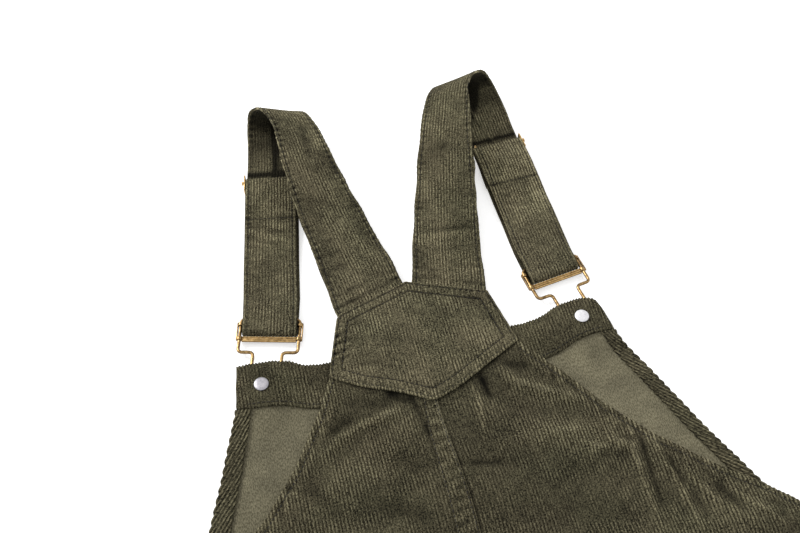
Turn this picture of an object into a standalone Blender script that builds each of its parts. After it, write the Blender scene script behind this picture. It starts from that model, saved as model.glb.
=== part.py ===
"""Corduroy bib overalls, laid flat on a table with the back up and the straps buckled.

X runs to the garment's right as it lies, Y runs from the leg hems to the straps, and the table is z = 0.
Every length is in millimetres; MM turns it into Blender's metres when a mesh is made.  The origin is
under the middle of the garment's box, MIDDLE away from the point of the back yoke.
"""
import math

import bmesh
import bpy
import numpy as np
from mathutils import Matrix, Vector

MM = 0.001
MIDDLE = (3.0, -457.2)

# Cloth and the gap that neighbouring pieces keep
CLOTH = 1.6
STRAP_CLOTH = 2.0
GAP = 0.3
LAYER = CLOTH + GAP
YOKE_Z = 3 * LAYER
HEM_LAYER = 1.16

# Lengths along the garment, measured up from the point of the yoke
WAIST_Y = -160.0
SIDE_TOP_Y = -145.0
CROTCH_Y = -490.0
HEM_Y = -1190.0
HEMS_APART = 60.0
BIB_MIDDLE_X = 3.0
HEM_STEPS = (0.0, 0.5, 1.0)
HEM_COVER = 44.0
BAND_LEVELS = (0.0, 0.25, 0.5, 0.75, 1.0)
HEM_LEVELS = (1.0035, 1.05, 1.11, 1.18, 1.26, 1.36, 1.48, 1.6, 1.72, 1.82, 1.9)
SEAM_TURN = 3.3
FRONT_INSET = 4.3
FRONT_TURN = 10.0
SEAM_DROP = 1.5

# The back panels tuck under the yoke, step up over the bib's band and hems, and fold away from their seams.
# A pair is where the change starts and how long it takes.
YOKE_TUCK = 10.0
BAND_STEP = (-10.0, 12.0)
HEM_STEP = 14.0
HEM_STEP_END = (SIDE_TOP_Y - 30.0, 20.0)
FOLD_START = (4.0, 24.0)
FOLD_ENDS = (0.15, 0.4)
ARMHOLE_TURN = 210.0
SEAM_DROP_RUN = 16.0

# Buttons hold the buckles under the bib, which they lift clear of the table
BUTTONS = {"left": (-113.3, 35.5), "right": (115.0, 37.5)}
BUTTON_LIFT = 5.8
LIFT_FLAT = 13.0
LIFT_REACH = 37.0
LIFT_STRETCH = 0.45
BUTTON_RADIUS = 8.5
BUTTON_HEAD = 2.6
SHANK_RADIUS = 2.8
NAIL_RADIUS = 1.0
NAIL_HOLE_RADIUS = 1.35
TACK_RADIUS = 5.0
TACK_HEIGHT = 1.1

# Buckle: a bent wire hooked on the button and a stamped bar that slides on its sides
WIRE_RADIUS = 1.15
WIRE_Z = 4.1
BUCKLE_HALF = 20.9
BUCKLE_TOP = 54.0
STRAP_FOLD = 41.6
FLAT_BAR = 38.3
RAIL_TOP = 51.0
FLAT_BAR_TALL = 3.6
FLAT_BAR_THICK = 1.2
RAIL = (0.9, 1.6)
COLLAR_HALF = 1.3
COLLAR_WALL = 1.2
COLLAR_CROWN = 0.8
SHOULDER = 27.3
NECK_HALF = 10.1
HOOK_PLAY = 1.3
BUCKLE_LEAN = {"left": 14.0, "right": -9.5}

# Slider: a frame with a rod that the strap's end is sewn round
SLIDER_FRAME = (41.6, 14.0)
SLIDER_BAR = 2.6
SLIDER_THICK = 1.0
SLIDER_EAR = 1.1
ROD_RADIUS = 1.2
ROD_HEAD = (0.7, 1.75)
ROD_REACH = SLIDER_FRAME[0] / 2 + GAP + ROD_HEAD[0]
EAR_ABOVE_ROD = 0.9
TAIL_LENGTH = 38.0
STRAP_WIDTH = 38.5
STRAP_RELAX = {"left": 0.6, "right": 1.8}
LAYER_SLIP = {"left": (1.6, 0.0), "right": (-0.8, 0.8)}


def table(names, *rows):
    """A small table: one named column of numbers for each word in names."""
    return dict(zip(names.split(), (np.array(column) for column in zip(*rows))))


BIB_SIDE = table(
    "y left right",
    (54, 131.0, 123.5), (46, 132.0, 127.5), (37, 133.5, 129.5), (25, 135.2, 132.0), (10, 140.5, 137.5),
    (-6, 146.0, 144.3), (-23, 151.5, 151.2), (-42, 158.5, 158.8), (-62, 165.5, 166.8), (-79, 172.5, 174.7),
    (-95, 179.5, 181.8), (-105, 184.0, 186.5), (-123, 198.0, 197.3), (-145, 217.0, 216.5),
    (-160, 223.7, 223.7))
BIB_TOP = table(
    "across y",
    (-131, 53.5), (-118, 53.0), (-110, 52.3), (-102, 51.0), (-94, 49.0), (-87, 46.6), (-75, 45.5),
    (0, 45.0), (75, 45.5), (87, 46.6), (94, 49.0), (102, 51.0), (110, 52.3), (118, 52.4), (124, 51.0),
    (128, 48.5))
BAND_BOTTOM = table(
    "across y",
    (-138, 23.0), (-129, 20.4), (-115, 18.8), (-101, 17.0), (-89, 14.2), (-80, 12.2), (-70, 12.0),
    (70, 13.0), (81, 14.5), (92, 17.0), (103, 20.5), (113, 22.5), (123, 23.5), (135, 24.5))
HEM_WIDTH = table("y left right", (20, 11.4, 11.2), (-60, 13.8, 11.0), (-160, 16.0, 11.5))
BACK_SIDE = table(
    "y left right",
    (42, 62.0, 62.0), (31, 67.5, 67.5), (20, 72.5, 75.0), (9, 78.5, 83.0), (-7, 89.5, 95.0),
    (-26, 102.0, 107.0), (-42, 115.5, 119.0), (-50, 122.0, 125.0), (-60, 131.0, 133.0),
    (-70, 142.0, 143.5), (-81, 154.5, 154.5), (-91, 166.0, 166.0), (-106, 184.5, 184.5),
    (-122, 202.0, 202.0), (-145, 222.0, 222.0), (-160, 227.0, 227.0), (-200, 238.0, 238.0),
    (-250, 249.0, 249.0), (-300, 257.0, 257.0), (-360, 262.0, 262.0), (-430, 264.0, 264.0),
    (-490, 264.0, 264.0), (-600, 262.0, 262.0), (-800, 257.0, 257.0), (-1000, 253.0, 253.0),
    (-1190, 250.0, 250.0))
YOKE_BOTTOM = table("across x y", (-1, -68.0, 32.5), (0, 0.0, 0.0), (1, 66.5, 31.0))
YOKE_TOP = table("across x y", (-1, -53.0, 79.0), (0, 1.0, 96.5), (1, 57.0, 75.5))

LEG_ROWS = [-480.0, -490.0, -500.0, -520.0, -545.0, -580.0, -630.0, -690.0, -750.0, -810.0, -870.0, -930.0,
            -990.0, -1050.0, -1110.0, -1150.0, -1190.0]

# Soft ridges of the upper cloth: a line from one end to the other, and the ridge's height and half width
FOLDS = table(
    "x0 y0 x1 y1 height half",
    (-100, -62, -12, -8, 2.4, 13), (-120, -110, -30, -95, 1.6, 18), (16, -2, 96, -62, 2.2, 11),
    (52, -4, 150, -96, 1.5, 13), (70, -120, 196, -128, 2.6, 16), (-200, -180, -60, -140, 2.4, 20),
    (20, -210, 190, -250, 2.2, 24), (-230, -330, -80, -290, 2.6, 22), (60, -400, 230, -350, 2.6, 24),
    (-14, -470, -150, -420, 3.0, 20), (20, -480, 160, -440, 2.8, 18), (-235, -640, -70, -600, 2.6, 28),
    (60, -720, 220, -760, 2.6, 26), (-220, -900, -90, -950, 2.4, 30), (70, -980, 210, -930, 2.2, 28),
    (-190, -1060, -60, -1030, 1.8, 22), (90, -1110, 230, -1130, 1.6, 20))

# The straps above the buckles: middle line, height of the middle line, turn and tilt of the width
STRAPS = {
    "left": table(
        "x y z turn tilt width",
        (-25.3, 82.9, 4.4, 13.5, 0, 55.5), (-27.2, 91.0, 4.6, 13.5, 0, 55.0),
        (-30.8, 113.0, 7.5, 13.0, 0, 52.5), (-35.8, 137.0, 12.0, 13.0, -3, 50.0),
        (-41.2, 162.0, 18.0, 12.5, -6, 47.5), (-45.8, 185.0, 24.0, 11.0, -9, 44.2),
        (-49.5, 208.0, 29.5, 9.0, -12, 41.0), (-52.0, 228.0, 33.0, 6.0, -16, 39.2),
        (-55.5, 246.0, 33.5, 3.0, -19, 38.5), (-60.0, 260.5, 30.0, 0.0, -21, 38.5),
        (-64.4, 269.4, 22.0, -2.0, -20, 38.5), (-68.0, 272.0, 14.5, -5.0, -15, 38.5),
        (-70.2, 268.5, 7.0, -7.5, -7, 38.5), (-71.8, 258.0, 2.8, -8.6, -1, 38.5),
        (-73.7, 245.0, 1.2, -8.8, 0, 38.5), (-76.3, 228.0, 1.9, -8.9, 0, 38.5)),
    "right": table(
        "x y z turn tilt width",
        (28.8, 80.0, 4.4, -20.0, 0, 54.0), (31.7, 88.0, 4.6, -19.5, 0, 53.5),
        (36.8, 114.0, 7.5, -17.5, 0, 51.5), (42.2, 138.0, 12.0, -16.0, 3, 49.0),
        (47.5, 160.0, 18.0, -15.5, 6, 46.5), (53.0, 183.0, 24.5, -15.5, 10, 44.0),
        (58.3, 204.0, 30.5, -15.5, 14, 41.5), (64.5, 224.0, 34.5, -14.5, 18, 39.5),
        (71.0, 243.5, 35.5, -12.0, 21, 38.5), (79.0, 259.5, 32.0, -7.5, 22, 38.5),
        (87.5, 270.5, 23.5, -3.0, 20, 38.5), (94.5, 274.5, 14.5, 0.0, 15, 38.5),
        (100.0, 271.0, 7.0, 2.0, 7, 38.5), (103.2, 260.0, 2.8, 2.8, 1, 38.5),
        (104.8, 245.0, 1.2, 3.0, 0, 38.5), (104.6, 224.0, 1.9, 3.4, 0, 38.5)),
}
# The strap between slider and buckle: where it folds at the slider, and its lean there
SLIDERS = {"left": (-79.0, 215.5, 8.9), "right": (104.7, 209.0, -3.6)}
END_REACH = 60.0
FREE_LENGTH = 40.0
# Distances from the slider at which the main layer rises to its frame and the tail starts to lift the back one,
# and from the buckle's fold along which the back layer comes down
MAIN_RISE = (34.0, 16.0)
TAIL_RISE = (58.0, 40.0)
TAIL_TURN = 30.0
BUCKLE_FALL = (14.0, 40.0)

COLOURS = {
    "corduroy": ((0.073, 0.066, 0.040), 0.95, 0.0),
    "plain_cloth": ((0.150, 0.137, 0.092), 0.95, 0.0),
    "brass": ((0.46, 0.30, 0.11), 0.35, 1.0),
    "steel": ((0.62, 0.62, 0.63), 0.25, 1.0),
}


def smooth(columns, key, name, at):
    """Value of one column at a place in the key column, on a smooth curve through the table's rows."""
    order = np.argsort(columns[key])
    keys = columns[key][order].astype(float)
    values = columns[name][order].astype(float)
    slopes = np.gradient(values, keys)
    at = np.clip(np.asarray(at, float), keys[0], keys[-1])
    i = np.clip(np.searchsorted(keys, at, side="right") - 1, 0, len(keys) - 2)
    span = keys[i + 1] - keys[i]
    t = (at - keys[i]) / span
    start = (1 + 2 * t) * (1 - t) ** 2 * values[i] + t * (1 - t) ** 2 * span * slopes[i]
    return start + t * t * (3 - 2 * t) * values[i + 1] + t * t * (t - 1) * span * slopes[i + 1]


def ease(value):
    """Smooth step from 0 to 1."""
    value = np.clip(value, 0.0, 1.0)
    return value * value * (3 - 2 * value)


def side_name(sign):
    """The side that a signed distance across the garment is on."""
    return "right" if sign > 0 else "left"


def middle_x(y):
    """The centre back seam drifts a little to the right below the yoke."""
    return 3.0 * ease((-20.0 - y) / 80.0)


def inseam_x(y):
    """Distance of an inseam from the middle line: it runs straight from the crotch to the hem."""
    return HEMS_APART / 2 * max(0.0, CROTCH_Y - y) / (CROTCH_Y - HEM_Y)


def bib_lift(x, y):
    """Height of the bib's underside: it stands over each button, buckle wire and all."""
    lift = 0.0
    for side, (button_x, button_y) in BUTTONS.items():
        lean = math.radians(BUCKLE_LEAN[side])
        across = (x - button_x) * math.cos(lean) - (y - button_y) * math.sin(lean)
        up = (x - button_x) * math.sin(lean) + (y - button_y) * math.cos(lean)
        away = math.hypot(across, up * (LIFT_STRETCH if up > 0 else 1.0))
        lift = max(lift, BUTTON_LIFT * (1 - ease((away - LIFT_FLAT) / (LIFT_REACH - LIFT_FLAT))))
    return lift


def fold_lift(x, y):
    """Height that the soft ridges add to the upper cloth."""
    along = np.stack([FOLDS["x1"] - FOLDS["x0"], FOLDS["y1"] - FOLDS["y0"]])
    length = np.hypot(*along)
    offset = np.stack([x - FOLDS["x0"], y - FOLDS["y0"]])
    t = (offset * along).sum(0) / length ** 2
    across = (along[0] * offset[1] - along[1] * offset[0]) / length
    over, run = FOLD_ENDS
    ends = ease((t + over) / run) * ease((1 + over - t) / run)
    return float((FOLDS["height"] * ends * np.exp(-(across / FOLDS["half"]) ** 2)).sum())


def back_z(x, y, edge):
    """Height of the back panels' underside; edge is the distance to the nearest side seam or inseam."""
    over_band = ease((y - BAND_STEP[0]) / BAND_STEP[1])
    bib_half = smooth(BIB_SIDE, "y", side_name(x), max(y, WAIST_Y))
    from_bib_edge = bib_half - abs(x - BIB_MIDDLE_X)
    over_hem = ease((HEM_COVER - from_bib_edge) / HEM_STEP) * ease((y - HEM_STEP_END[0]) / HEM_STEP_END[1])
    base = LAYER + bib_lift(x, y) + LAYER * max(over_band, HEM_LAYER * over_hem)
    folds = fold_lift(x, y) * ease((edge - FOLD_START[0]) / FOLD_START[1]) * (1 - over_band)
    below_bib = ease((SIDE_TOP_Y - y) / SEAM_DROP_RUN)
    return base + folds - SEAM_DROP * below_bib * (1 - ease(edge / SEAM_TURN))


def material(name):
    """The named finish, made once."""
    if name in bpy.data.materials:
        return bpy.data.materials[name]
    colour, roughness, metallic = COLOURS[name]
    finish = bpy.data.materials.new(name)
    finish.use_nodes = True
    shader = finish.node_tree.nodes["Principled BSDF"]
    shader.inputs["Base Color"].default_value = (*colour, 1.0)
    shader.inputs["Roughness"].default_value = roughness
    shader.inputs["Metallic"].default_value = metallic
    return finish


def own_material(obj, name):
    """Give the object its own copy of a finish."""
    finish = material(name).copy()
    finish.name = obj.name + "_" + name
    obj.data.materials.clear()
    obj.data.materials.append(finish)


def place(points):
    """Millimetres from the yoke's point to metres from the part's origin."""
    shifted = np.asarray(points, float) - np.array([MIDDLE[0], MIDDLE[1], 0.0])
    return shifted * MM


def sheet(name, points, thickness, finish, collection, lies_flat=True):
    """A cloth wall on a grid whose vertices take the given rows of points.

    A piece that lies flat is extruded straight up, so that layers nest; a strap is thickened by Solidify.
    """
    rows, columns = points.shape[:2]
    mesh = bpy.data.meshes.new(name)
    bm = bmesh.new()
    bmesh.ops.create_grid(bm, x_segments=columns - 1, y_segments=rows - 1, size=1.0)
    bm.verts.ensure_lookup_table()
    for vertex, point in zip(bm.verts, place(points).reshape(-1, 3)):
        vertex.co = point
    if lies_flat:
        raised = bmesh.ops.extrude_face_region(bm, geom=bm.faces[:], use_keep_orig=True)
        top = [item for item in raised["geom"] if isinstance(item, bmesh.types.BMVert)]
        bmesh.ops.translate(bm, vec=(0.0, 0.0, thickness * MM), verts=top)
    bmesh.ops.recalc_face_normals(bm, faces=bm.faces)
    bm.to_mesh(mesh)
    bm.free()
    obj = bpy.data.objects.new(name, mesh)
    collection.objects.link(obj)
    if not lies_flat:
        wall = obj.modifiers.new("Wall", "SOLIDIFY")
        wall.thickness = thickness * MM
        wall.offset = 0.0
    own_material(obj, finish)
    return obj


# ---------------------------------------------------------------------------------------------- front

def bib_y(level, across):
    """Height along the garment of a line across the bib: 0 its top, 1 the band's foot, 2 the waist seam."""
    top = smooth(BIB_TOP, "across", "y", across)
    foot = smooth(BAND_BOTTOM, "across", "y", across)
    waist = WAIST_Y + 0.5 * GAP
    return top + level * (foot - top) if level < 1 else foot + (level - 1) * (waist - foot)


def bib_rows(levels, columns, layer):
    """Rows of points across the bib's stack: layer 0 is the bib's underside, 1 that of what lies on it.

    Each column is a pair: a fraction of the bib's half width, and how far in from there, in hem widths.
    """
    rows = []
    for level in levels:
        row = []
        for fraction, inset in columns:
            across = 0.0
            for _ in range(8):
                y = float(bib_y(level, across))
                half = float(smooth(BIB_SIDE, "y", side_name(fraction), y))
                hem = float(smooth(HEM_WIDTH, "y", side_name(fraction), y))
                across = fraction * half - math.copysign(inset * hem, fraction)
            x = BIB_MIDDLE_X + across
            row.append((x, y, bib_lift(x, y) + layer * LAYER))
        rows.append(row)
    return np.array(rows)


def bib_columns():
    """Columns across the bib, with a pair of close ones along each side hem."""
    middle = [(fraction, 0.0) for fraction in np.linspace(-0.85, 0.85, 23)]
    left = [(-1.0, inset) for inset in HEM_STEPS]
    right = [(1.0, inset) for inset in reversed(HEM_STEPS)]
    return left + middle + right


def front_bib(collection):
    """The bib, face down, from its wavy top edge to the waist seam."""
    points = bib_rows(BAND_LEVELS + HEM_LEVELS + (1.97, 2.0), bib_columns(), 0)
    return sheet("front_bib", points, CLOTH, "plain_cloth", collection)


def bib_band(collection):
    """The hem facing that lies along the bib's top edge."""
    return sheet("bib_band", bib_rows(BAND_LEVELS, bib_columns(), 1), CLOTH, "corduroy", collection)


def bib_side_hem(side, sign, collection):
    """The turned hem down one side of the bib, from the band to the side seam."""
    columns = [(float(sign), inset) for inset in HEM_STEPS]
    points = bib_rows(HEM_LEVELS, columns, HEM_LAYER)
    return sheet("bib_side_hem_" + side, points, CLOTH, "corduroy", collection)


def front_leg(side, sign, collection):
    """One front leg with its half of the seat, from the waist seam to the hem, flat on the table."""
    points = []
    for y in [WAIST_Y - 0.5 * GAP, -200.0, -250.0, -300.0, -360.0, -430.0, -470.0] + LEG_ROWS:
        outer = float(smooth(BACK_SIDE, "y", side, y)) - FRONT_INSET
        inner = 0.5 * GAP + inseam_x(y) + FRONT_INSET * ease((CROTCH_Y + FRONT_TURN - y) / FRONT_TURN)
        middle = float(middle_x(y))
        row = [(middle + sign * (inner + f * (outer - inner)), y, 0.0) for f in np.linspace(0, 1, 7)]
        points.append(row)
    return sheet("front_leg_" + side, np.array(points), CLOTH, "plain_cloth", collection)


# ----------------------------------------------------------------------------------------------- back

def yoke_point(across, up):
    """A point of the yoke's outline or inside it: across runs from -1 to 1, up from 0 to 1."""
    low = [float(np.interp(across, YOKE_BOTTOM["across"], YOKE_BOTTOM[c])) for c in "xy"]
    high = [float(np.interp(across, YOKE_TOP["across"], YOKE_TOP[c])) for c in "xy"]
    return low[0] + up * (high[0] - low[0]), low[1] + up * (high[1] - low[1])


def back_panel(side, sign, collection):
    """One half of the back with its leg: yoke seam, armhole edge, side seam, inseam and centre seam."""
    corner_y = float(np.interp(sign, YOKE_BOTTOM["across"], YOKE_BOTTOM["y"])) + YOKE_TUCK
    drops = [0, 10, 20, 30, 42, 54, 68, 82, 96, 112, 128, 144, 160, 176, 192, 210, 235, 265, 300, 335, 370,
             405, 440, 470] + [YOKE_TUCK - y for y in LEG_ROWS]
    points = []
    for drop in drops:
        seam_y = YOKE_TUCK - drop
        settle = ease(drop / ARMHOLE_TURN)
        outer_y = (corner_y - drop) * (1 - settle) + seam_y * settle
        middle = float(middle_x(seam_y))
        half = float(smooth(BACK_SIDE, "y", side, outer_y))
        inner = 0.5 * GAP + inseam_x(seam_y)
        row = []
        turn = np.array([0.0, 0.35, 1.0]) * SEAM_TURN / (half - inner)
        for fraction in np.concatenate([turn, np.linspace(0, 1, 13)[1:-1], 1 - turn[::-1]]):
            x = middle + sign * (inner + fraction * (half - inner))
            y = seam_y + fraction * (outer_y - seam_y)
            edges = []
            if y < SIDE_TOP_Y:
                edges.append((1 - fraction) * (half - inner))
            if y < CROTCH_Y:
                edges.append(fraction * (half - inner))
            row.append((x, y, back_z(x, y, min(edges, default=60.0))))
        points.append(row)
    return sheet("back_" + side, np.array(points), CLOTH, "corduroy", collection)


def back_yoke(collection):
    """The six-sided yoke over the tops of the back panels and the roots of the straps."""
    points = []
    for up in np.linspace(0, 1, 9):
        row = []
        for across in np.linspace(-1, 1, 13):
            x, y = yoke_point(across, up)
            row.append((x, y, YOKE_Z))
        points.append(row)
    return sheet("back_yoke", np.array(points), CLOTH, "corduroy", collection)


# --------------------------------------------------------------------------------------------- straps

def end_bend(along):
    """Sideways drift per unit of slope that an end's lean gives the strap, gone after END_REACH."""
    u = along / END_REACH
    return along if u < 0 else along * (1 - u) ** 2 * (u < 1)


def front_line(side, along):
    """Plan place and lean of the strap between buckle and slider, along from the buckle's fold."""
    lean = math.radians(BUCKLE_LEAN[side])
    fold = np.array(BUTTONS[side]) + np.array([HOOK_PLAY, 0.0])
    fold += STRAP_FOLD * np.array([math.sin(lean), math.cos(lean)])
    slider_x, slider_y, slider_lean = SLIDERS[side]
    chord = np.array([slider_x, slider_y]) - fold
    length = float(np.hypot(*chord))
    chord /= length
    straight = math.atan2(chord[0], chord[1])
    low = lean - straight
    high = math.radians(slider_lean) - straight
    drift = math.tan(low) * end_bend(along) - math.tan(high) * end_bend(length - along)
    spot = fold + along * chord + drift * np.array([chord[1], -chord[0]])
    turn = straight + low * (1 - ease(along / END_REACH)) + high * (1 - ease((length - along) / END_REACH))
    return spot, -math.degrees(turn), length


def front_heights(length):
    """Heights of the strap's three layers between buckle and slider, at the middle of the cloth."""
    main = STRAP_CLOTH / 2
    bend = WIRE_Z - STRAP_CLOTH / 2
    rod_bend = ROD_RADIUS + GAP + STRAP_CLOTH / 2
    main_at_slider = SLIDER_THICK + GAP + STRAP_CLOTH / 2
    tail_at_slider = main_at_slider + STRAP_CLOTH + GAP
    return {
        "buckle_bend": bend,
        "slider_bend": rod_bend,
        "main": table("along z", (0.0, main), (length - MAIN_RISE[0], main),
                      (length - MAIN_RISE[1], main_at_slider), (length, main_at_slider)),
        "back": table("along z", (0.0, main + 2 * bend), (BUCKLE_FALL[0], main + 2 * bend),
                      (BUCKLE_FALL[1], main + STRAP_CLOTH + 1.0),
                      (length - TAIL_RISE[0], main + STRAP_CLOTH + 1.0),
                      (length - TAIL_RISE[1], main + 2 * STRAP_CLOTH + 2 * GAP + 0.2),
                      (length - MAIN_RISE[1], tail_at_slider + 2 * rod_bend - 0.4),
                      (length, tail_at_slider + 2 * rod_bend)),
        "tail": table("along z", (length - TAIL_RISE[1], main + STRAP_CLOTH + GAP),
                      (length - TAIL_TURN, main + STRAP_CLOTH + GAP + 0.1),
                      (length - MAIN_RISE[1], tail_at_slider), (length, tail_at_slider)),
    }


def layer_z(columns, along):
    """Height of a layer, straight between the table's rows but with rounded steps."""
    keys = columns["along"]
    i = int(np.clip(np.searchsorted(keys, along) - 1, 0, len(keys) - 2))
    t = ease((along - keys[i]) / (keys[i + 1] - keys[i]))
    return float(columns["z"][i] + t * (columns["z"][i + 1] - columns["z"][i]))


def front_stations(side):
    """Stations from above the slider down to the buckle, round it, up to the slider rod and back under."""
    length = front_line(side, 0.0)[2]
    heights = front_heights(length)
    stations = []

    def add(along, z, slip=0.0):
        spot, turn, _ = front_line(side, along)
        free = ease(along / FREE_LENGTH) * ease((length - along) / FREE_LENGTH)
        wide = STRAP_WIDTH + STRAP_RELAX[side] * free
        stations.append((spot[0] + slip * free, spot[1], z, turn, 0.0, wide))

    bend = heights["buckle_bend"]
    start = bend
    for along in np.concatenate([np.linspace(length - 1, length - 34, 5), np.linspace(length - 50, start, 7)]):
        add(along, layer_z(heights["main"], along), LAYER_SLIP[side][0])
    middle_z = STRAP_CLOTH / 2 + bend
    for angle in np.linspace(0, math.pi, 7)[1:-1]:
        add(start - bend * math.sin(angle), middle_z - bend * math.cos(angle))
    rod_bend = heights["slider_bend"]
    stop = length - rod_bend
    for along in np.concatenate([[start, 14, 22, 31, 40], np.linspace(60, length - 58, 4),
                                 [length - 49, length - 40, length - 32, length - 24, length - 16, stop]]):
        add(along, layer_z(heights["back"], along), LAYER_SLIP[side][1])
    rod_z = heights["tail"]["z"][-1] + rod_bend
    for angle in np.linspace(0, math.pi, 7)[1:-1]:
        add(stop + rod_bend * math.sin(angle), rod_z + rod_bend * math.cos(angle))
    for along in (stop, length - 12, length - 16, length - 20, length - 25, length - 30, length - TAIL_LENGTH):
        add(along, layer_z(heights["tail"], along))
    return np.array(stations)


def upper_stations(side):
    """Stations from the strap's root under the yoke, over the loop and down to the slider."""
    columns = STRAPS[side]
    count = len(columns["x"])
    key = table("step", *[(step,) for step in range(count)])["step"]
    steps = np.linspace(0, count - 1, 2 * count - 1)
    curves = [smooth({"step": key, name: columns[name]}, "step", name, steps)
              for name in ("x", "y", "z", "turn", "tilt", "width")]
    return np.stack(curves, 1)


def strap(side, collection):
    """One strap: a single ribbon from the yoke, through the slider, round the buckle and back."""
    stations = np.concatenate([upper_stations(side), front_stations(side)])
    points = []
    for x, y, z, turn, tilt, width in stations:
        turn = math.radians(turn)
        tilt = math.radians(tilt)
        wide = np.array([math.cos(turn) * math.cos(tilt), math.sin(turn) * math.cos(tilt), math.sin(tilt)])
        points.append([np.array([x, y, z]) + f * width * wide for f in (-0.5, 0.0, 0.5)])
    return sheet("strap_" + side, np.array(points), STRAP_CLOTH, "corduroy", collection, lies_flat=False)


# ------------------------------------------------------------------------------------------- hardware

def buckle_frame(side):
    """Matrix from the buckle's own plan to the part; the hook lies a little to the button's right."""
    x, y = BUTTONS[side]
    spot = place([(x + HOOK_PLAY, y, 0.0)])[0]
    return Matrix.Translation(spot) @ Matrix.Rotation(-math.radians(BUCKLE_LEAN[side]), 4, "Z")


def rounded(corners, radius, steps=3):
    """A path through corner points with each bend rounded to the radius."""
    path = [Vector(corners[0])]
    for before, corner, after in zip(corners, corners[1:], corners[2:]):
        corner = Vector(corner)
        back = (Vector(before) - corner)
        on = (Vector(after) - corner)
        reach = min(radius, 0.45 * back.length, 0.45 * on.length)
        start = corner + back.normalized() * reach
        stop = corner + on.normalized() * reach
        for step in range(steps + 1):
            t = step / steps
            path.append((1 - t) ** 2 * start + 2 * t * (1 - t) * corner + t * t * stop)
    path.append(Vector(corners[-1]))
    return path


def mesh_object(name, bm, finish, collection, matrix=Matrix()):
    """An object from a bmesh in millimetres, moved by the matrix."""
    bmesh.ops.recalc_face_normals(bm, faces=bm.faces)
    bmesh.ops.scale(bm, vec=(MM, MM, MM), verts=bm.verts)
    mesh = bpy.data.meshes.new(name)
    bm.to_mesh(mesh)
    bm.free()
    obj = bpy.data.objects.new(name, mesh)
    obj.matrix_world = matrix
    collection.objects.link(obj)
    if finish:
        own_material(obj, finish)
        mesh.shade_smooth()
        mesh.set_sharp_from_angle(angle=math.radians(40))
    return obj


def box(name, low, high, finish, collection, matrix):
    """A box between two corners."""
    bm = bmesh.new()
    bmesh.ops.create_cube(bm, size=1.0)
    size = Vector(high) - Vector(low)
    bmesh.ops.scale(bm, vec=size, verts=bm.verts)
    bmesh.ops.translate(bm, vec=(Vector(high) + Vector(low)) / 2, verts=bm.verts)
    return mesh_object(name, bm, finish, collection, matrix)


def round_bar(name, start, stop, radius, finish, collection, matrix, sides=12):
    """A cylinder from one point to another."""
    bm = bmesh.new()
    start = Vector(start)
    stop = Vector(stop)
    axis = stop - start
    turn = axis.to_track_quat("Z", "Y").to_matrix().to_4x4()
    where = Matrix.Translation((start + stop) / 2) @ turn
    bmesh.ops.create_cone(bm, cap_ends=True, segments=sides, radius1=radius, radius2=radius,
                          depth=axis.length, matrix=where)
    return mesh_object(name, bm, finish, collection, matrix)


def join(target, other, operation="UNION"):
    """Boolean a helper piece into the target."""
    step = target.modifiers.new(other.name, "BOOLEAN")
    step.operation = operation
    step.solver = "EXACT"
    step.object = other
    other.hide_render = True
    other.display_type = "WIRE"


def buckle_wire(side, collection):
    """The bent wire: top bar in the strap's fold, shoulders, and a hook round the button's shank."""
    hook = SHANK_RADIUS + HOOK_PLAY + GAP + WIRE_RADIUS
    right_half = [(0.0, BUCKLE_TOP, WIRE_Z), (BUCKLE_HALF, BUCKLE_TOP, WIRE_Z),
                  (BUCKLE_HALF, SHOULDER, WIRE_Z), (NECK_HALF, SHOULDER, WIRE_Z),
                  (NECK_HALF, 12.0, WIRE_Z), (hook + 0.5, 5.0, WIRE_Z)]
    path = rounded(right_half, 3.2)
    for angle in np.linspace(0, 0.5 * math.pi, 5):
        path.append(Vector((hook * math.cos(angle), -hook * math.sin(angle), WIRE_Z)))
    mirrored = [Vector((-point.x, point.y, point.z)) for point in path[1:-1]]
    loop = path + mirrored[::-1]
    curve = bpy.data.curves.new("buckle_wire_" + side, "CURVE")
    curve.dimensions = "3D"
    curve.bevel_depth = WIRE_RADIUS * MM
    curve.bevel_resolution = 2
    line = curve.splines.new("POLY")
    line.points.add(len(loop) - 1)
    for point, spot in zip(line.points, loop):
        point.co = (*(spot * MM), 1.0)
    line.use_cyclic_u = True
    guide = bpy.data.objects.new("wire_guide_" + side, curve)
    collection.objects.link(guide)
    mesh = bpy.data.meshes.new_from_object(guide.evaluated_get(bpy.context.evaluated_depsgraph_get()))
    bpy.data.objects.remove(guide)
    bm = bmesh.new()
    bm.from_mesh(mesh)
    bmesh.ops.remove_doubles(bm, verts=bm.verts, dist=0.001 * MM)
    bm.to_mesh(mesh)
    bm.free()
    mesh.name = "buckle_wire_" + side
    obj = bpy.data.objects.new("buckle_wire_" + side, mesh)
    obj.matrix_world = buckle_frame(side)
    collection.objects.link(obj)
    own_material(obj, "brass")
    mesh.shade_smooth()
    return obj


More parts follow.
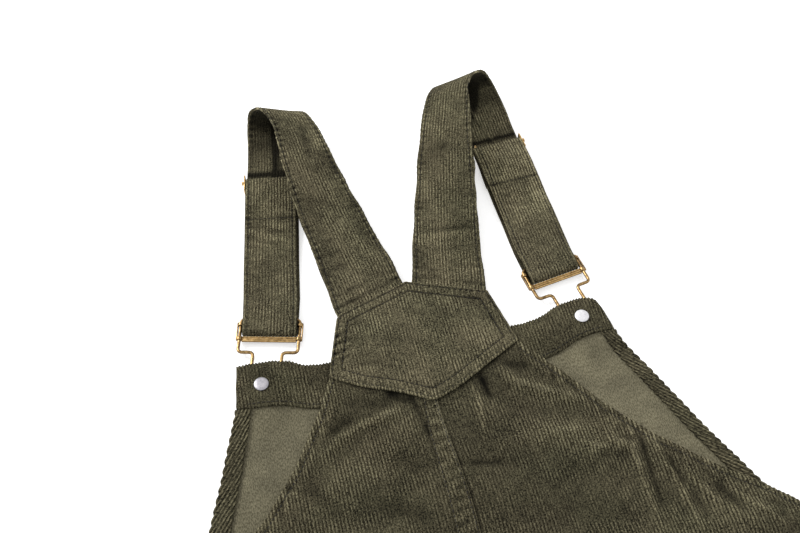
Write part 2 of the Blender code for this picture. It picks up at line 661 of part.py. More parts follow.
def buckle_bar(side, collection, cutters):
    """The stamped bar: a flat bar across, a rail outside each side wire, and collars round the wire."""
    frame = buckle_frame(side)
    low_z = WIRE_Z - FLAT_BAR_THICK / 2
    inner = BUCKLE_HALF - WIRE_RADIUS - COLLAR_WALL
    outer = BUCKLE_HALF + WIRE_RADIUS + 0.4 + RAIL[0]
    half_tall = FLAT_BAR_TALL / 2
    bar = box("buckle_bar_" + side, (-inner - 0.5, FLAT_BAR - half_tall, low_z),
              (inner + 0.5, FLAT_BAR + half_tall, low_z + FLAT_BAR_THICK), "brass", collection, frame)
    for sign in (-1, 1):
        for name, along in (("low", FLAT_BAR), ("high", RAIL_TOP - COLLAR_HALF)):
            across = sorted((sign * inner, sign * outer))
            collar = box("collar_%s_%s_%s" % (name, side, side_name(sign)),
                         (across[0], along - COLLAR_HALF, WIRE_Z - WIRE_RADIUS - COLLAR_CROWN),
                         (across[1], along + COLLAR_HALF, WIRE_Z + WIRE_RADIUS + COLLAR_CROWN),
                         None, cutters, frame)
            join(bar, collar)
        across = sorted((sign * (outer - RAIL[0]), sign * outer))
        rail = box("rail_%s_%s" % (side, side_name(sign)), (across[0], FLAT_BAR - 1.2, WIRE_Z - RAIL[1] / 2),
                   (across[1], RAIL_TOP - 0.2, WIRE_Z + RAIL[1] / 2), None, cutters, frame)
        join(bar, rail)
    for sign in (-1, 1):
        bore = round_bar("bore_%s_%s" % (side, side_name(sign)), (sign * BUCKLE_HALF, SHOULDER, WIRE_Z),
                         (sign * BUCKLE_HALF, BUCKLE_TOP, WIRE_Z), WIRE_RADIUS + GAP, None, cutters, frame)
        join(bar, bore, "DIFFERENCE")
    return bar


def slider_frame(side):
    """Matrix from the slider's own plan, with the middle of its rod at the origin, to the part."""
    length = front_line(side, 0.0)[2]
    spot, turn, _ = front_line(side, length - ROD_RADIUS - GAP - STRAP_CLOTH / 2)
    where = place([(spot[0], spot[1], 0.0)])[0]
    return Matrix.Translation(where) @ Matrix.Rotation(math.radians(turn), 4, "Z")


def rod_height():
    """Height of the slider rod's middle."""
    heights = front_heights(140.0)
    return float(heights["tail"]["z"][-1] + heights["slider_bend"])


def slider(side, collection, cutters):
    """The slider: a flat frame under the strap with an upright ear at each end, and a rod through them."""
    frame = slider_frame(side)
    half_wide = SLIDER_FRAME[0] / 2
    half_tall = SLIDER_FRAME[1] / 2
    body = box("slider_frame_" + side, (-half_wide, -half_tall, 0.0), (half_wide, half_tall, SLIDER_THICK),
               "brass", collection, frame)
    window = box("slider_window_" + side, (-half_wide + 2 * SLIDER_EAR, -half_tall + SLIDER_BAR, -1.0),
                 (half_wide - 2 * SLIDER_EAR, half_tall - SLIDER_BAR, SLIDER_THICK + 1.0), None, cutters, frame)
    join(body, window, "DIFFERENCE")
    top = rod_height() + ROD_RADIUS + EAR_ABOVE_ROD
    for sign in (-1, 1):
        edge = sorted((sign * half_wide, sign * (half_wide - SLIDER_EAR)))
        upright = box("ear_%s_%s" % (side, side_name(sign)), (edge[0], -half_tall, 0.2), (edge[1], half_tall, top),
                      None, cutters, frame)
        join(body, upright)
    bore = round_bar("rod_bore_" + side, (-half_wide - 3, 0, rod_height()),
                     (half_wide + 3, 0, rod_height()), ROD_RADIUS + GAP, None, cutters, frame)
    join(body, bore, "DIFFERENCE")
    rod = round_bar("slider_rod_" + side, (-ROD_REACH, 0, rod_height()), (ROD_REACH, 0, rod_height()),
                    ROD_RADIUS, "brass", collection, frame)
    for sign in (-1, 1):
        bm = bmesh.new()
        bmesh.ops.create_uvsphere(bm, u_segments=10, v_segments=6, radius=1.0)
        bmesh.ops.scale(bm, vec=(ROD_HEAD[0], ROD_HEAD[1], ROD_HEAD[1]), verts=bm.verts)
        bmesh.ops.translate(bm, vec=(sign * ROD_REACH, 0, rod_height()), verts=bm.verts)
        head = mesh_object("rod_head_%s_%s" % (side, side_name(sign)), bm, None, cutters, frame)
        join(rod, head)
    return body, rod


def turned(name, profile, finish, collection, where, segments=16):
    """A turned piece: a profile of (radius, height) from the bottom's middle up to the top's middle."""
    bm = bmesh.new()
    verts = [bm.verts.new((radius * MM, 0.0, height * MM)) for radius, height in profile]
    for low, high in zip(verts, verts[1:]):
        bm.edges.new((low, high))
    mesh = bpy.data.meshes.new(name)
    bm.to_mesh(mesh)
    bm.free()
    obj = bpy.data.objects.new(name, mesh)
    obj.location = where
    collection.objects.link(obj)
    spin = obj.modifiers.new("Turn", "SCREW")
    spin.steps = segments
    spin.render_steps = segments
    spin.use_merge_vertices = True
    spin.merge_threshold = 0.00001
    spin.use_normal_calculate = True
    own_material(obj, finish)
    return obj


def button(side, collection):
    """The jeans button: a flat domed head on the table side and a shank up to the bib's cloth."""
    x, y = BUTTONS[side]
    where = place([(x, y, 0.0)])[0]
    top = BUTTON_LIFT - GAP
    profile = [(0.0, 0.0), (BUTTON_RADIUS - 1.4, 0.0), (BUTTON_RADIUS - 0.3, 0.7), (BUTTON_RADIUS, 1.5),
               (BUTTON_RADIUS - 0.5, BUTTON_HEAD), (SHANK_RADIUS, BUTTON_HEAD), (SHANK_RADIUS, top), (0.0, top)]
    return turned("bib_button_" + side, profile[::-1], "brass", collection, where)


def tack(side, collection):
    """The button's tack: a silver disc on the wrong side with a nail down through the cloth."""
    x, y = BUTTONS[side]
    where = place([(x, y, 0.0)])[0]
    low = BUTTON_LIFT + 2 * LAYER
    profile = [(0.0, BUTTON_LIFT), (NAIL_RADIUS, BUTTON_LIFT), (NAIL_RADIUS, low), (TACK_RADIUS - 0.5, low),
               (TACK_RADIUS, low + 0.4), (TACK_RADIUS - 0.6, low + 0.85), (TACK_RADIUS - 2.2, low + TACK_HEIGHT),
               (0.0, low + TACK_HEIGHT + 0.1)]
    return turned("tack_" + side, profile[::-1], "steel", collection, where)


def nail_hole(side, targets, cutters):
    """Pierce the cloth for the tack's nail."""
    x, y = BUTTONS[side]
    where = Matrix.Translation(place([(x, y, 0.0)])[0])
    hole = round_bar("nail_hole_" + side, (0, 0, 2.0), (0, 0, 14.0), NAIL_HOLE_RADIUS, None, cutters, where, 12)
    for target in targets:
        join(target, hole, "DIFFERENCE")


def main():
    for old in list(bpy.data.objects):
        bpy.data.objects.remove(old)
    garment = bpy.data.collections.new("bib_overalls")
    cutters = bpy.data.collections.new("cutters")
    for collection in (garment, cutters):
        bpy.context.scene.collection.children.link(collection)
    flat = [front_bib(garment), bib_band(garment), back_yoke(garment)]
    for side, sign in (("left", -1), ("right", 1)):
        flat.append(bib_side_hem(side, sign, garment))
        flat.append(front_leg(side, sign, garment))
        flat.append(back_panel(side, sign, garment))
        strap(side, garment)
        buckle_wire(side, garment)
        buckle_bar(side, garment, cutters)
        slider(side, garment, cutters)
        button(side, garment)
        tack(side, garment)
    for side in BUTTONS:
        nail_hole(side, flat[:2], cutters)


main()
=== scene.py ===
import math

import bmesh
import bpy
import numpy as np
from mathutils import Matrix, Vector


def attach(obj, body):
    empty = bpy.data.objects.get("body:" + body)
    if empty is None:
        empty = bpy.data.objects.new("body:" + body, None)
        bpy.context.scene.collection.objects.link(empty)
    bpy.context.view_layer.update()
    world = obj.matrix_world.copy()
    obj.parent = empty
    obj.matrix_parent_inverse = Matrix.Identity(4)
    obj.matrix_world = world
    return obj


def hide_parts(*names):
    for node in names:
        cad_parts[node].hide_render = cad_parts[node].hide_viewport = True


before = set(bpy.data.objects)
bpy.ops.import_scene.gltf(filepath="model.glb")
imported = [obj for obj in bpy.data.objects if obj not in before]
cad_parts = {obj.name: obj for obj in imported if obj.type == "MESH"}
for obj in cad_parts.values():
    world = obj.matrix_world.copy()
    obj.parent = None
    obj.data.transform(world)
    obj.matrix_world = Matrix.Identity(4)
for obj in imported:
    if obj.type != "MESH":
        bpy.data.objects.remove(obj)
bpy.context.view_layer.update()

# Plan lengths are in millimetres from the yoke's point; toMetres turns them into the frame's metres
middle = (3.0, -457.2)
unit = 0.001
sides = {"left": -1, "right": 1}

clothSize = {
    "wall": 1.6,  # thickness of a laid sheet
    "strapWall": 2.0,
    "gap": 0.3,  # air left between two sheets
    "pitch": 2.26,  # from one wale to the next
    "depth": 0.6,  # how deep the groove between wales is
    "round": 0.7,  # radius of a turned edge
}
layer = clothSize["wall"] + clothSize["gap"]
yokeZ = 3 * layer
waistY = -160.0
sideTopY = -145.0
crotchY = -490.0
hemY = -1190.0
hemsApart = 60.0
bibMiddle = 3.0


def table(names, *rows):
    return dict(zip(names.split(), np.array(rows, float).T))


bibSide = table(
    "y left right",
    (54, 131.0, 123.5), (46, 132.0, 127.5), (37, 133.5, 129.5), (25, 135.2, 132.0), (10, 140.5, 137.5),
    (-6, 146.0, 144.3), (-23, 151.5, 151.2), (-42, 158.5, 158.8), (-62, 165.5, 166.8), (-79, 172.5, 174.7),
    (-95, 179.5, 181.8), (-105, 184.0, 186.5), (-123, 198.0, 197.3), (-145, 217.0, 216.5),
    (-160, 223.7, 223.7))
bibTop = table(
    "across y",
    (-131, 53.5), (-118, 53.0), (-110, 52.3), (-102, 51.0), (-94, 49.0), (-87, 46.6), (-75, 45.5),
    (0, 45.0), (75, 45.5), (87, 46.6), (94, 49.0), (102, 51.0), (110, 52.3), (118, 52.4), (124, 51.0),
    (128, 48.5))
bandFoot = table(
    "across y",
    (-138, 23.0), (-129, 20.4), (-115, 18.8), (-101, 17.0), (-89, 14.2), (-80, 12.2), (-70, 12.0),
    (70, 13.0), (81, 14.5), (92, 17.0), (103, 20.5), (113, 22.5), (123, 23.5), (135, 24.5))
hemWidth = table("y left right", (20, 11.4, 11.2), (-60, 13.8, 11.0), (-160, 16.0, 11.5))
backSide = table(
    "y left right",
    (42, 62.0, 62.0), (31, 67.5, 67.5), (20, 72.5, 75.0), (9, 78.5, 83.0), (-7, 89.5, 95.0),
    (-26, 102.0, 107.0), (-42, 115.5, 119.0), (-50, 122.0, 125.0), (-60, 131.0, 133.0),
    (-70, 142.0, 143.5), (-81, 154.5, 154.5), (-91, 166.0, 166.0), (-106, 184.5, 184.5),
    (-122, 202.0, 202.0), (-145, 222.0, 222.0), (-160, 227.0, 227.0), (-200, 238.0, 238.0),
    (-250, 249.0, 249.0), (-300, 257.0, 257.0), (-360, 262.0, 262.0), (-430, 264.0, 264.0),
    (-490, 264.0, 264.0), (-600, 262.0, 262.0), (-800, 257.0, 257.0), (-1000, 253.0, 253.0),
    (-1190, 250.0, 250.0))
# The yoke's foot bows outward; its corners follow from the foot's right end round to the left
yokeFoot = table(
    "x y",
    (-68, 31.5), (-58, 26), (-48.5, 20.3), (-39, 16.3), (-29.5, 12.8), (-23, 9.8), (-14, 5), (-8, 1.6),
    (-3, -0.6), (2, -0.3), (10, 2.5), (20.5, 6.8), (30, 12), (38.5, 16.5), (51, 23), (66.5, 31))
yokeHead = table("x y", (57, 75.5), (1, 96.5), (-50.2, 80), (-53.6, 76.8), (-55.2, 72))
yokeOutline = np.column_stack([np.concatenate([yokeFoot[name], yokeHead[name]]) for name in ("x", "y")])
buttons = {"left": (-113.3, 35.5), "right": (115.0, 37.5)}
buckleLean = {"left": 14.0, "right": -9.5}

# Broad soft ridges of the upper cloth: a line, the ridge's height and its half width
folds = table(
    "x0 y0 x1 y1 height half",
    (-100, -62, -12, -8, 2.4, 13), (-120, -110, -30, -95, 1.6, 18), (16, -2, 96, -62, 2.2, 11),
    (52, -4, 150, -96, 1.5, 13), (70, -120, 196, -128, 2.6, 16), (-200, -180, -60, -140, 2.4, 20),
    (20, -210, 190, -250, 2.2, 24), (-230, -330, -80, -290, 2.6, 22), (60, -400, 230, -350, 2.6, 24),
    (-14, -470, -150, -420, 3.0, 20), (20, -480, 160, -440, 2.8, 18), (-235, -640, -70, -600, 2.6, 28),
    (60, -720, 220, -760, 2.6, 26), (-220, -900, -90, -950, 2.4, 30), (70, -980, 210, -930, 2.2, 28),
    (-190, -1060, -60, -1030, 1.8, 22), (90, -1110, 230, -1130, 1.6, 20))
# Creases given one by one on the back: below zero is a furrow
creases = table(
    "x0 y0 x1 y1 height half",
    # right half, from under the yoke down to the side
    (47, 15, 57, -3, 1.4, 3.8), (55, 0, 77, -12, 1.8, 4), (75, -11, 96, -23, 1.5, 3.5),
    (25, 6, 28, -9, 0.9, 2.2), (28, -6, 25, -34, 1.2, 1.8), (33, 12, 36, -8, -1.4, 2.4),
    (49, 17, 71, 9, -0.9, 3.2), (36, -18, 97, -33, -0.8, 8), (27, -36, 62, -43, 0.6, 5),
    (60, -40, 94, -44, 0.7, 3), (87, -54, 102, -62, 1.1, 2.6), (102, -53, 117, -63, 1.3, 3),
    (93, -63, 114, -68, -0.9, 2), (4, -48, 38, -54, -1.1, 2), (108, -54, 119, -57, -1.1, 1.8),
    (103, -33, 117, -37, -1, 2), (116, -60, 115, -80, 1.5, 2.2), (115, -78, 114, -118, 1, 2),
    (123, -58, 122, -78, -1.6, 1.8), (122, -76, 121, -104, -1.1, 1.8), (129, -48, 131, -69, 0.9, 2),
    (131, -73, 137, -90, 1.2, 2), (136, -88, 138, -126, 1.1, 2), (135, -74, 140, -96, -1.3, 2.2),
    (143, -83, 149, -99, 0.9, 2), (149, -98, 156, -115, 1.3, 2), (142, -97, 146, -121, -0.8, 2.8),
    (157, -96, 169, -120, -1.3, 3.6), (163, -101, 190, -135, 1.1, 1.6), (184, -116, 194, -123, -1, 1.8),
    (95, -95, 100, -118, -0.4, 3.4),
    # left half
    (-85, -24, -68, -13, 1.3, 3.2), (-71, -14, -50, -7, 1.9, 3.3), (-53, -8, -25, -2, 1.8, 3.3),
    (-34, 12, -16, 2, -1.5, 2.8), (-16, 5, -11, -26, -1.4, 2), (-64, 11, -26, 2, -0.7, 4.5),
    (-75, -9, -58, 0, -0.9, 3.2), (-66, -38, -36, -47, 0.5, 5.5), (-33, -39, -12, -47, -0.7, 5),
    (-99, -38, -77, -67, -1, 5), (-57, -63, -19, -80, -0.7, 6), (-113, -40, -102, -40, -1, 1.6),
    (-117, -45, -101, -45, 0.8, 1.6), (-70, -86, -40, -130, 0.6, 9), (-190, -122, -150, -104, 0.8, 6),
    # the skirt of the back and the legs
    (-26, -140, -90, -160, 0.7, 9), (-30, -195, -120, -210, 0.8, 10), (24, -150, 80, -166, 0.7, 9),
    (100, -180, 210, -200, 0.8, 10), (-225, -255, -150, -240, 0.9, 9), (-12, -300, -80, -330, 0.8, 10),
    (30, -330, 120, -300, 0.8, 11), (-250, -410, -180, -400, 0.9, 9), (180, -470, 250, -500, 0.9, 10),
    (-30, -540, -120, -500, 1, 10), (40, -560, 130, -520, 1, 10), (-240, -720, -160, -740, 0.9, 12),
    (150, -650, 240, -630, 0.9, 12), (-60, -800, -150, -820, 0.8, 13), (60, -860, 140, -880, 0.8, 13),
    (-230, -1010, -170, -1000, 0.8, 12), (160, -1040, 236, -1060, 0.8, 12),
    (-110, -1120, -50, -1130, 0.6, 10), (50, -1000, 110, -1010, 0.6, 11))


def hermite(t, span, low, high, slopeLow, slopeHigh):
    start = (1 + 2 * t) * (1 - t) ** 2 * low + t * (1 - t) ** 2 * span * slopeLow
    return start + t * t * (3 - 2 * t) * high + t * t * (t - 1) * span * slopeHigh


def smoothAt(columns, key, name, at):
    order = np.argsort(columns[key])
    keys = columns[key][order]
    values = columns[name][order]
    slopes = np.gradient(values, keys)
    at = np.clip(np.asarray(at, float), keys[0], keys[-1])
    i = np.clip(np.searchsorted(keys, at, side="right") - 1, 0, len(keys) - 2)
    span = keys[i + 1] - keys[i]
    t = (at - keys[i]) / span
    return hermite(t, span, values[i], values[i + 1], slopes[i], slopes[i + 1])


def bySide(columns, x, y):
    # the column of the side that each point is on
    return np.where(x > 0, smoothAt(columns, "y", "right", y), smoothAt(columns, "y", "left", y))


def ease(value):
    value = np.clip(value, 0.0, 1.0)
    return value * value * (3 - 2 * value)


def bell(distance, width):
    return np.exp(-(distance / width) ** 2)


def stacked(*columns):
    return np.stack(np.broadcast_arrays(*columns), -1)


def waleWave(across):
    # 1 on the crest of each wale and -1 in the groove
    return np.cos(2 * np.pi * across / clothSize["pitch"])


def middleX(y):
    return bibMiddle * ease((-20.0 - np.asarray(y, float)) / 80.0)


def seamX(y):
    # the centre seam wanders to the right below the yoke
    return middleX(y) + 2.5 * bell(np.asarray(y, float) + 56.0, 42.0)


def inseamX(y):
    return 0.5 * hemsApart * np.maximum(0.0, crotchY - np.asarray(y, float)) / (crotchY - hemY)


def ripple(x, y, seed, scale, count=7):
    # smooth uneven waves between about -1 and 1, the same on every run
    draw = np.random.default_rng(seed)
    total = np.zeros(np.broadcast(x, y).shape)
    for _ in range(count):
        angle, phase = draw.uniform(0, 2 * np.pi, 2)
        size = scale * draw.uniform(0.6, 1.7)
        total += np.sin((x * math.cos(angle) + y * math.sin(angle)) * 2 * np.pi / size + phase)
    return total / math.sqrt(count) * 0.8


def wale(across, depth=None):
    # height of the pile over one wale after another: 0 on the crests
    ridge = 0.5 + 0.5 * waleWave(across)
    return (clothSize["depth"] if depth is None else depth) * (ridge ** 0.55 - 1)


def bibLift(x, y):
    lift = np.zeros(np.broadcast(x, y).shape)
    for side, (buttonX, buttonY) in buttons.items():
        lean = math.radians(buckleLean[side])
        across = (x - buttonX) * math.cos(lean) - (y - buttonY) * math.sin(lean)
        up = (x - buttonX) * math.sin(lean) + (y - buttonY) * math.cos(lean)
        away = np.hypot(across, up * np.where(up > 0, 0.45, 1.0))
        lift = np.maximum(lift, 5.8 * (1 - ease((away - 13.0) / 24.0)))
    return lift


# Shallow wrinkles of the bib's open cloth
wrinkles = table(
    "x0 y0 x1 y1 height half",
    (66, -8, 96, -22, 0.5, 2.2), (84, -26, 112, -30, 0.5, 1.8), (96, -18, 104, -44, 0.4, 2.0),
    (112, -42, 134, -46, 0.5, 1.8), (120, -60, 142, -78, 0.4, 2.4), (-128, -20, -112, -34, 0.4, 3.0),
    (-124, -58, -104, -50, 0.3, 3.0), (-96, -2, -82, -12, 0.3, 2.6), (-60, -60, 40, -70, 0.5, 6.0),
    (-30, -20, 20, -110, 0.5, 7.0))


def ridges(rows, x, y):
    total = np.zeros(np.broadcast(x, y).shape)
    for x0, y0, x1, y1, height, half in zip(*(rows[name] for name in "x0 y0 x1 y1 height half".split())):
        alongX, alongY = x1 - x0, y1 - y0
        length = math.hypot(alongX, alongY)
        t = ((x - x0) * alongX + (y - y0) * alongY) / length ** 2
        across = (alongX * (y - y0) - alongY * (x - x0)) / length
        ends = ease((t + 0.15) / 0.4) * ease((1.15 - t) / 0.4)
        total += height * ends * bell(across, half)
    return total


def backZ(x, y, edge):
    # underside of the back panels; edge is the distance to the nearest side seam or inseam
    overBand = ease((y + 10.0) / 12.0)
    bibHalf = bySide(bibSide, x, np.maximum(y, waistY))
    overHem = ease((44.0 - (bibHalf - abs(x - bibMiddle))) / 14.0) * ease((y - sideTopY + 30.0) / 20.0)
    base = layer + bibLift(x, y) + layer * np.maximum(overBand, 1.16 * overHem)
    broad = ridges(folds, x, y) * ease((edge - 4.0) / 24.0) * (1 - overBand)
    return base + broad - 1.5 * ease((sideTopY - y) / 16.0) * (1 - ease(edge / 3.3))


def edgeRound(distance, radius=None):
    # how far a turned edge has dropped at a distance in from it
    radius = clothSize["round"] if radius is None else radius
    t = np.clip(1 - distance / radius, 0.0, 1.0)
    return radius * (1 - np.sqrt(1 - t * t))


def seamLine(distance, at, depth=0.5, half=0.55):
    # the groove that a row of stitches pulls
    return -depth * bell(distance - at, half)


def toMetres(spots):
    return (np.asarray(spots, float) - np.array([*middle, 0.0])) * unit


def addObject(name, data):
    made = bpy.data.objects.new(name, data)
    bpy.context.scene.collection.objects.link(made)
    return made


class Graph:
    # one material's nodes, with a short call for each kind that is used
    def __init__(self, name):
        self.made = bpy.data.materials.new(name)
        self.made.use_nodes = True
        self.nodes = self.made.node_tree.nodes
        self.shader = self.nodes["Principled BSDF"]

    def feed(self, socket, value):
        # a socket takes another node's output, a colour or a number
        if hasattr(value, "links"):
            self.made.node_tree.links.new(value, socket)
        else:
            socket.default_value = (*value, 1.0) if socket.type == "RGBA" else value

    def new(self, kind, **settings):
        node = self.nodes.new("ShaderNode" + kind)
        for key, value in settings.items():
            if key in node.inputs:
                self.feed(node.inputs[key], value)
            else:
                setattr(node, key, value)
        return node

    def math(self, operation, first, second=0.0, *rest, clamp=False):
        node = self.new("Math", operation=operation, use_clamp=clamp)
        for socket, value in zip(node.inputs, (first, second, *rest)):
            self.feed(socket, value)
        return node.outputs[0]

    def times(self, first, second, clamp=False):
        return self.math("MULTIPLY", first, second, clamp=clamp)

    def add(self, *terms, clamp=False):
        total = terms[0]
        for term in terms[1:-1]:
            total = self.math("ADD", total, term)
        return self.math("ADD", total, terms[-1], clamp=clamp)

    def spread(self, value, amount, about=0.5):
        # how far a value is from its usual level
        return self.times(self.math("SUBTRACT", value, about), amount)

    def mix(self, factor, first, second, blend="MIX"):
        node = self.new("Mix", data_type="RGBA", blend_type=blend)
        for index, value in ((0, factor), (6, first), (7, second)):
            self.feed(node.inputs[index], value)
        return node.outputs[2]

    def noise(self, where, scale, detail=2.0, stretch=None):
        if stretch:
            where = self.new("Mapping", Scale=(*stretch, 1.0), Vector=where).outputs[0]
        return self.new("TexNoise", noise_dimensions="2D", Scale=scale, Detail=detail, Roughness=0.6,
                        Vector=where).outputs[0]

    def cloth(self):
        # the "cut" map in centimetres of cloth: U counts across the wales and V runs along them
        cut = self.new("UVMap", uv_map="cut").outputs[0]
        parts = self.new("SeparateXYZ", Vector=cut)
        # the tone attribute carries random tone together with painted highlights and painted shade
        return cut, parts.outputs, self.new("Attribute", attribute_name="tone").outputs["Fac"]

    def dim(self, colour, light):
        grey = self.new("CombineColor", Red=light, Green=light, Blue=light)
        return self.mix(1.0, colour, grey.outputs[0], "MULTIPLY")

    def finish(self, values, height=None, strength=0.0, distance=0.0):
        # the shader's own inputs, and a bump where a height is given
        if height is not None:
            bump = self.new("Bump", Strength=strength, Distance=distance, Height=height)
            values["Normal"] = bump.outputs[0]
        for key, value in values.items():
            self.feed(self.shader.inputs[key], value)
        return self.made


perWale = 2 * math.pi * 10.0 / clothSize["pitch"]  # one turn to a wale, in radians for a centimetre
pile = {
    "crest": (0.128, 0.115, 0.070),  # lit tips of the pile
    "valley": (0.030, 0.026, 0.015),  # ground between wales, painted in shade
    "wornAndLit": (0.200, 0.182, 0.122),  # pale colour where the tone is highest: partly rubbed pile, partly a painted highlight on crease crests and edges
    "sheen": (0.75, 0.70, 0.50),
    "brown": (1.02, 0.99, 1.0),  # the dye leans brown here and green there
    "green": (0.985, 1.008, 0.985),
    "wales": 0.54,  # how much of the pile stands in clear wales
    "flat": 0.52,  # height of the pile where it is brushed flat
    "mottle": 1.6,  # how uneven the pile lies
    "fuzz": 5.2,  # how much the fine fibres break it up
    "darkest": 0.03,
}


def corduroy(name, crest=1.0):
    graph = Graph(name)
    cut, (across, *_), tone = graph.cloth()
    wobble = graph.add(graph.spread(graph.noise(cut, 2.2), 0.11), graph.spread(graph.noise(cut, 9.0), 0.06))
    turns = graph.times(graph.add(across, wobble), perWale)
    ridge = graph.times(graph.add(graph.math("COSINE", turns), 1.0), 0.5)
    # patches where the pile is brushed flat hide the wales
    brushed = graph.noise(cut, 1.1, 3.0, (1.0, 0.6))
    patch = graph.add(pile["wales"], graph.spread(brushed, 3.2), graph.spread(tone, 1.4, 1.0), clamp=True)
    flat = graph.math("SUBTRACT", 1.0, patch)
    ridge = graph.add(graph.times(ridge, patch), graph.times(flat, pile["flat"]))
    grain = graph.noise(cut, 8.5, 3.0, (1.4, 1.1))
    tufts = graph.noise(cut, 2.0, 3.0, (2.6, 1.2))
    cloud = graph.noise(cut, 0.4, 3.0)
    light = graph.add(crest, graph.spread(grain, pile["fuzz"] * crest),
                      graph.spread(tufts, pile["mottle"] * crest), graph.spread(cloud, crest))
    light = graph.math("MAXIMUM", graph.times(light, tone), pile["darkest"])
    # each wale is painted lit on its crest and shaded in its groove
    colour = graph.dim(graph.mix(ridge, pile["valley"], pile["crest"]), light)
    hue = graph.add(0.5, graph.spread(graph.noise(cut, 0.22), 2.0), clamp=True)
    colour = graph.mix(1.0, colour, graph.mix(hue, pile["green"], pile["brown"]), "MULTIPLY")
    # where the tone is highest the colour turns pale: partly rubbed pile, partly painted highlight
    wornAndLit = graph.times(graph.math("SUBTRACT", tone, 1.8), 0.5, clamp=True)
    colour = graph.mix(wornAndLit, colour, pile["wornAndLit"])
    fibres = graph.times(graph.noise(cut, 34.0), 0.35)
    height = graph.add(fibres, graph.add(grain, graph.times(tufts, 1.2)))
    return graph.finish({"Base Color": colour, "Roughness": 0.95, "Specular IOR Level": 0.06,
                         "Sheen Weight": 0.035, "Sheen Roughness": 0.6, "Sheen Tint": pile["sheen"]},
                        height, 0.8, 0.0006)


weave = {
    "colour": (0.168, 0.152, 0.098),
    "dark": (0.082, 0.073, 0.044),
    "threads": 24.0,  # to a centimetre
    "level": 0.74,  # how light the gaps between threads are
    "ribs": 0.025,  # how far the wales show through from the other side
}


def plainWeave(name):
    graph = Graph(name)
    cut, ways, tone = graph.cloth()
    waves = [graph.math("SINE", graph.times(way, math.pi * weave["threads"])) for way in ways[:2]]
    threads = graph.math("ABSOLUTE", graph.times(*waves))
    slub = graph.noise(cut, 10.0, 4.0, (1.5, 0.6))
    ribs = graph.times(graph.math("SINE", graph.times(ways[0], perWale)), weave["ribs"])
    light = graph.add(graph.math("MULTIPLY_ADD", threads, 0.16, weave["level"]), ribs,
                      graph.spread(graph.noise(cut, 0.5, 3.0), 0.8, 0.28))
    shade = graph.add(0.5, graph.spread(slub, 6.8), clamp=True)
    colour = graph.dim(graph.mix(shade, weave["dark"], weave["colour"]), graph.times(light, tone))
    return graph.finish({"Base Color": colour, "Roughness": 0.9, "Specular IOR Level": 0.15,
                         "Sheen Weight": 0.08}, graph.add(threads, slub), 0.4, 0.00015)


def metal(name, colour, dark, roughness, scratch, metallic=1.0):
    graph = Graph(name)
    where = graph.new("TexCoord").outputs["Object"]
    tarnish = graph.new("TexNoise", Scale=420.0, Detail=4.0, Roughness=0.6, Vector=where).outputs[0]
    brush = graph.new("TexNoise", Scale=2600.0, Detail=2.0, Vector=where).outputs[0]
    # the upper faces are painted light and the sides and undersides painted dark as shade, with random
    # tarnish over both
    facing = graph.new("SeparateXYZ", Vector=graph.new("NewGeometry").outputs["Normal"]).outputs[2]
    paintedLight = graph.math("MULTIPLY_ADD", facing, 1.1, 0.05, clamp=True)
    tarnishAndShade = graph.times(graph.add(0.55, graph.spread(tarnish, 3.0), clamp=True), paintedLight)
    rough = graph.math("MULTIPLY_ADD", brush, scratch, roughness - 0.5 * scratch)
    colour = graph.mix(tarnishAndShade, dark, colour)
    values = {"Base Color": colour, "Roughness": rough, "Metallic": metallic}
    return graph.finish(values, brush, 0.15, 0.00005)


def thread(name):
    graph = Graph(name)
    where = graph.new("TexCoord").outputs["Object"]
    fibres = graph.new("TexNoise", Scale=1500.0, Detail=2.0, Vector=where).outputs[0]
    colour = graph.mix(fibres, (0.005, 0.004, 0.003), (0.020, 0.017, 0.010))
    return graph.finish({"Base Color": colour, "Roughness": 0.7})


# Each corduroy with how light its crests are; each metal with its bright and dark colour,
# roughness and scratches
finishes = {
    "back": corduroy("backCorduroy", 0.72),
    "yoke": corduroy("yokeCorduroy", 1.14),
    "strap": corduroy("strapCorduroy", 1.14),
    "band": corduroy("bandCorduroy", 0.78),
    "hem": corduroy("hemCorduroy", 0.73),
    "plain": plainWeave("plainWeave"),
    "brass": metal("antiqueBrass", (0.60, 0.40, 0.18), (0.10, 0.055, 0.02), 0.34, 0.14),
    # paler brass for the slider and the bar's ribs: rubbed metal, and on the ribs also a painted highlight
    "rubbedAndHighlitBrass": metal("rubbedAndHighlitBrass", (0.80, 0.56, 0.26), (0.40, 0.25, 0.09), 0.36, 0.12),
    # lit and shaded copies of one steel for the two tacks: the right painted brighter and less metallic as a
    # reflection of the bright room, the left painted darker
    "steelLeft": metal("shadedSteel", (0.56, 0.54, 0.57), (0.34, 0.33, 0.36), 0.46, 0.14),
    "steelRight": metal("litSteel", (0.93, 0.93, 0.94), (0.70, 0.69, 0.72), 0.46, 0.14, 0.45),
    "thread": thread("sewingThread"),
}
print("finishes made")


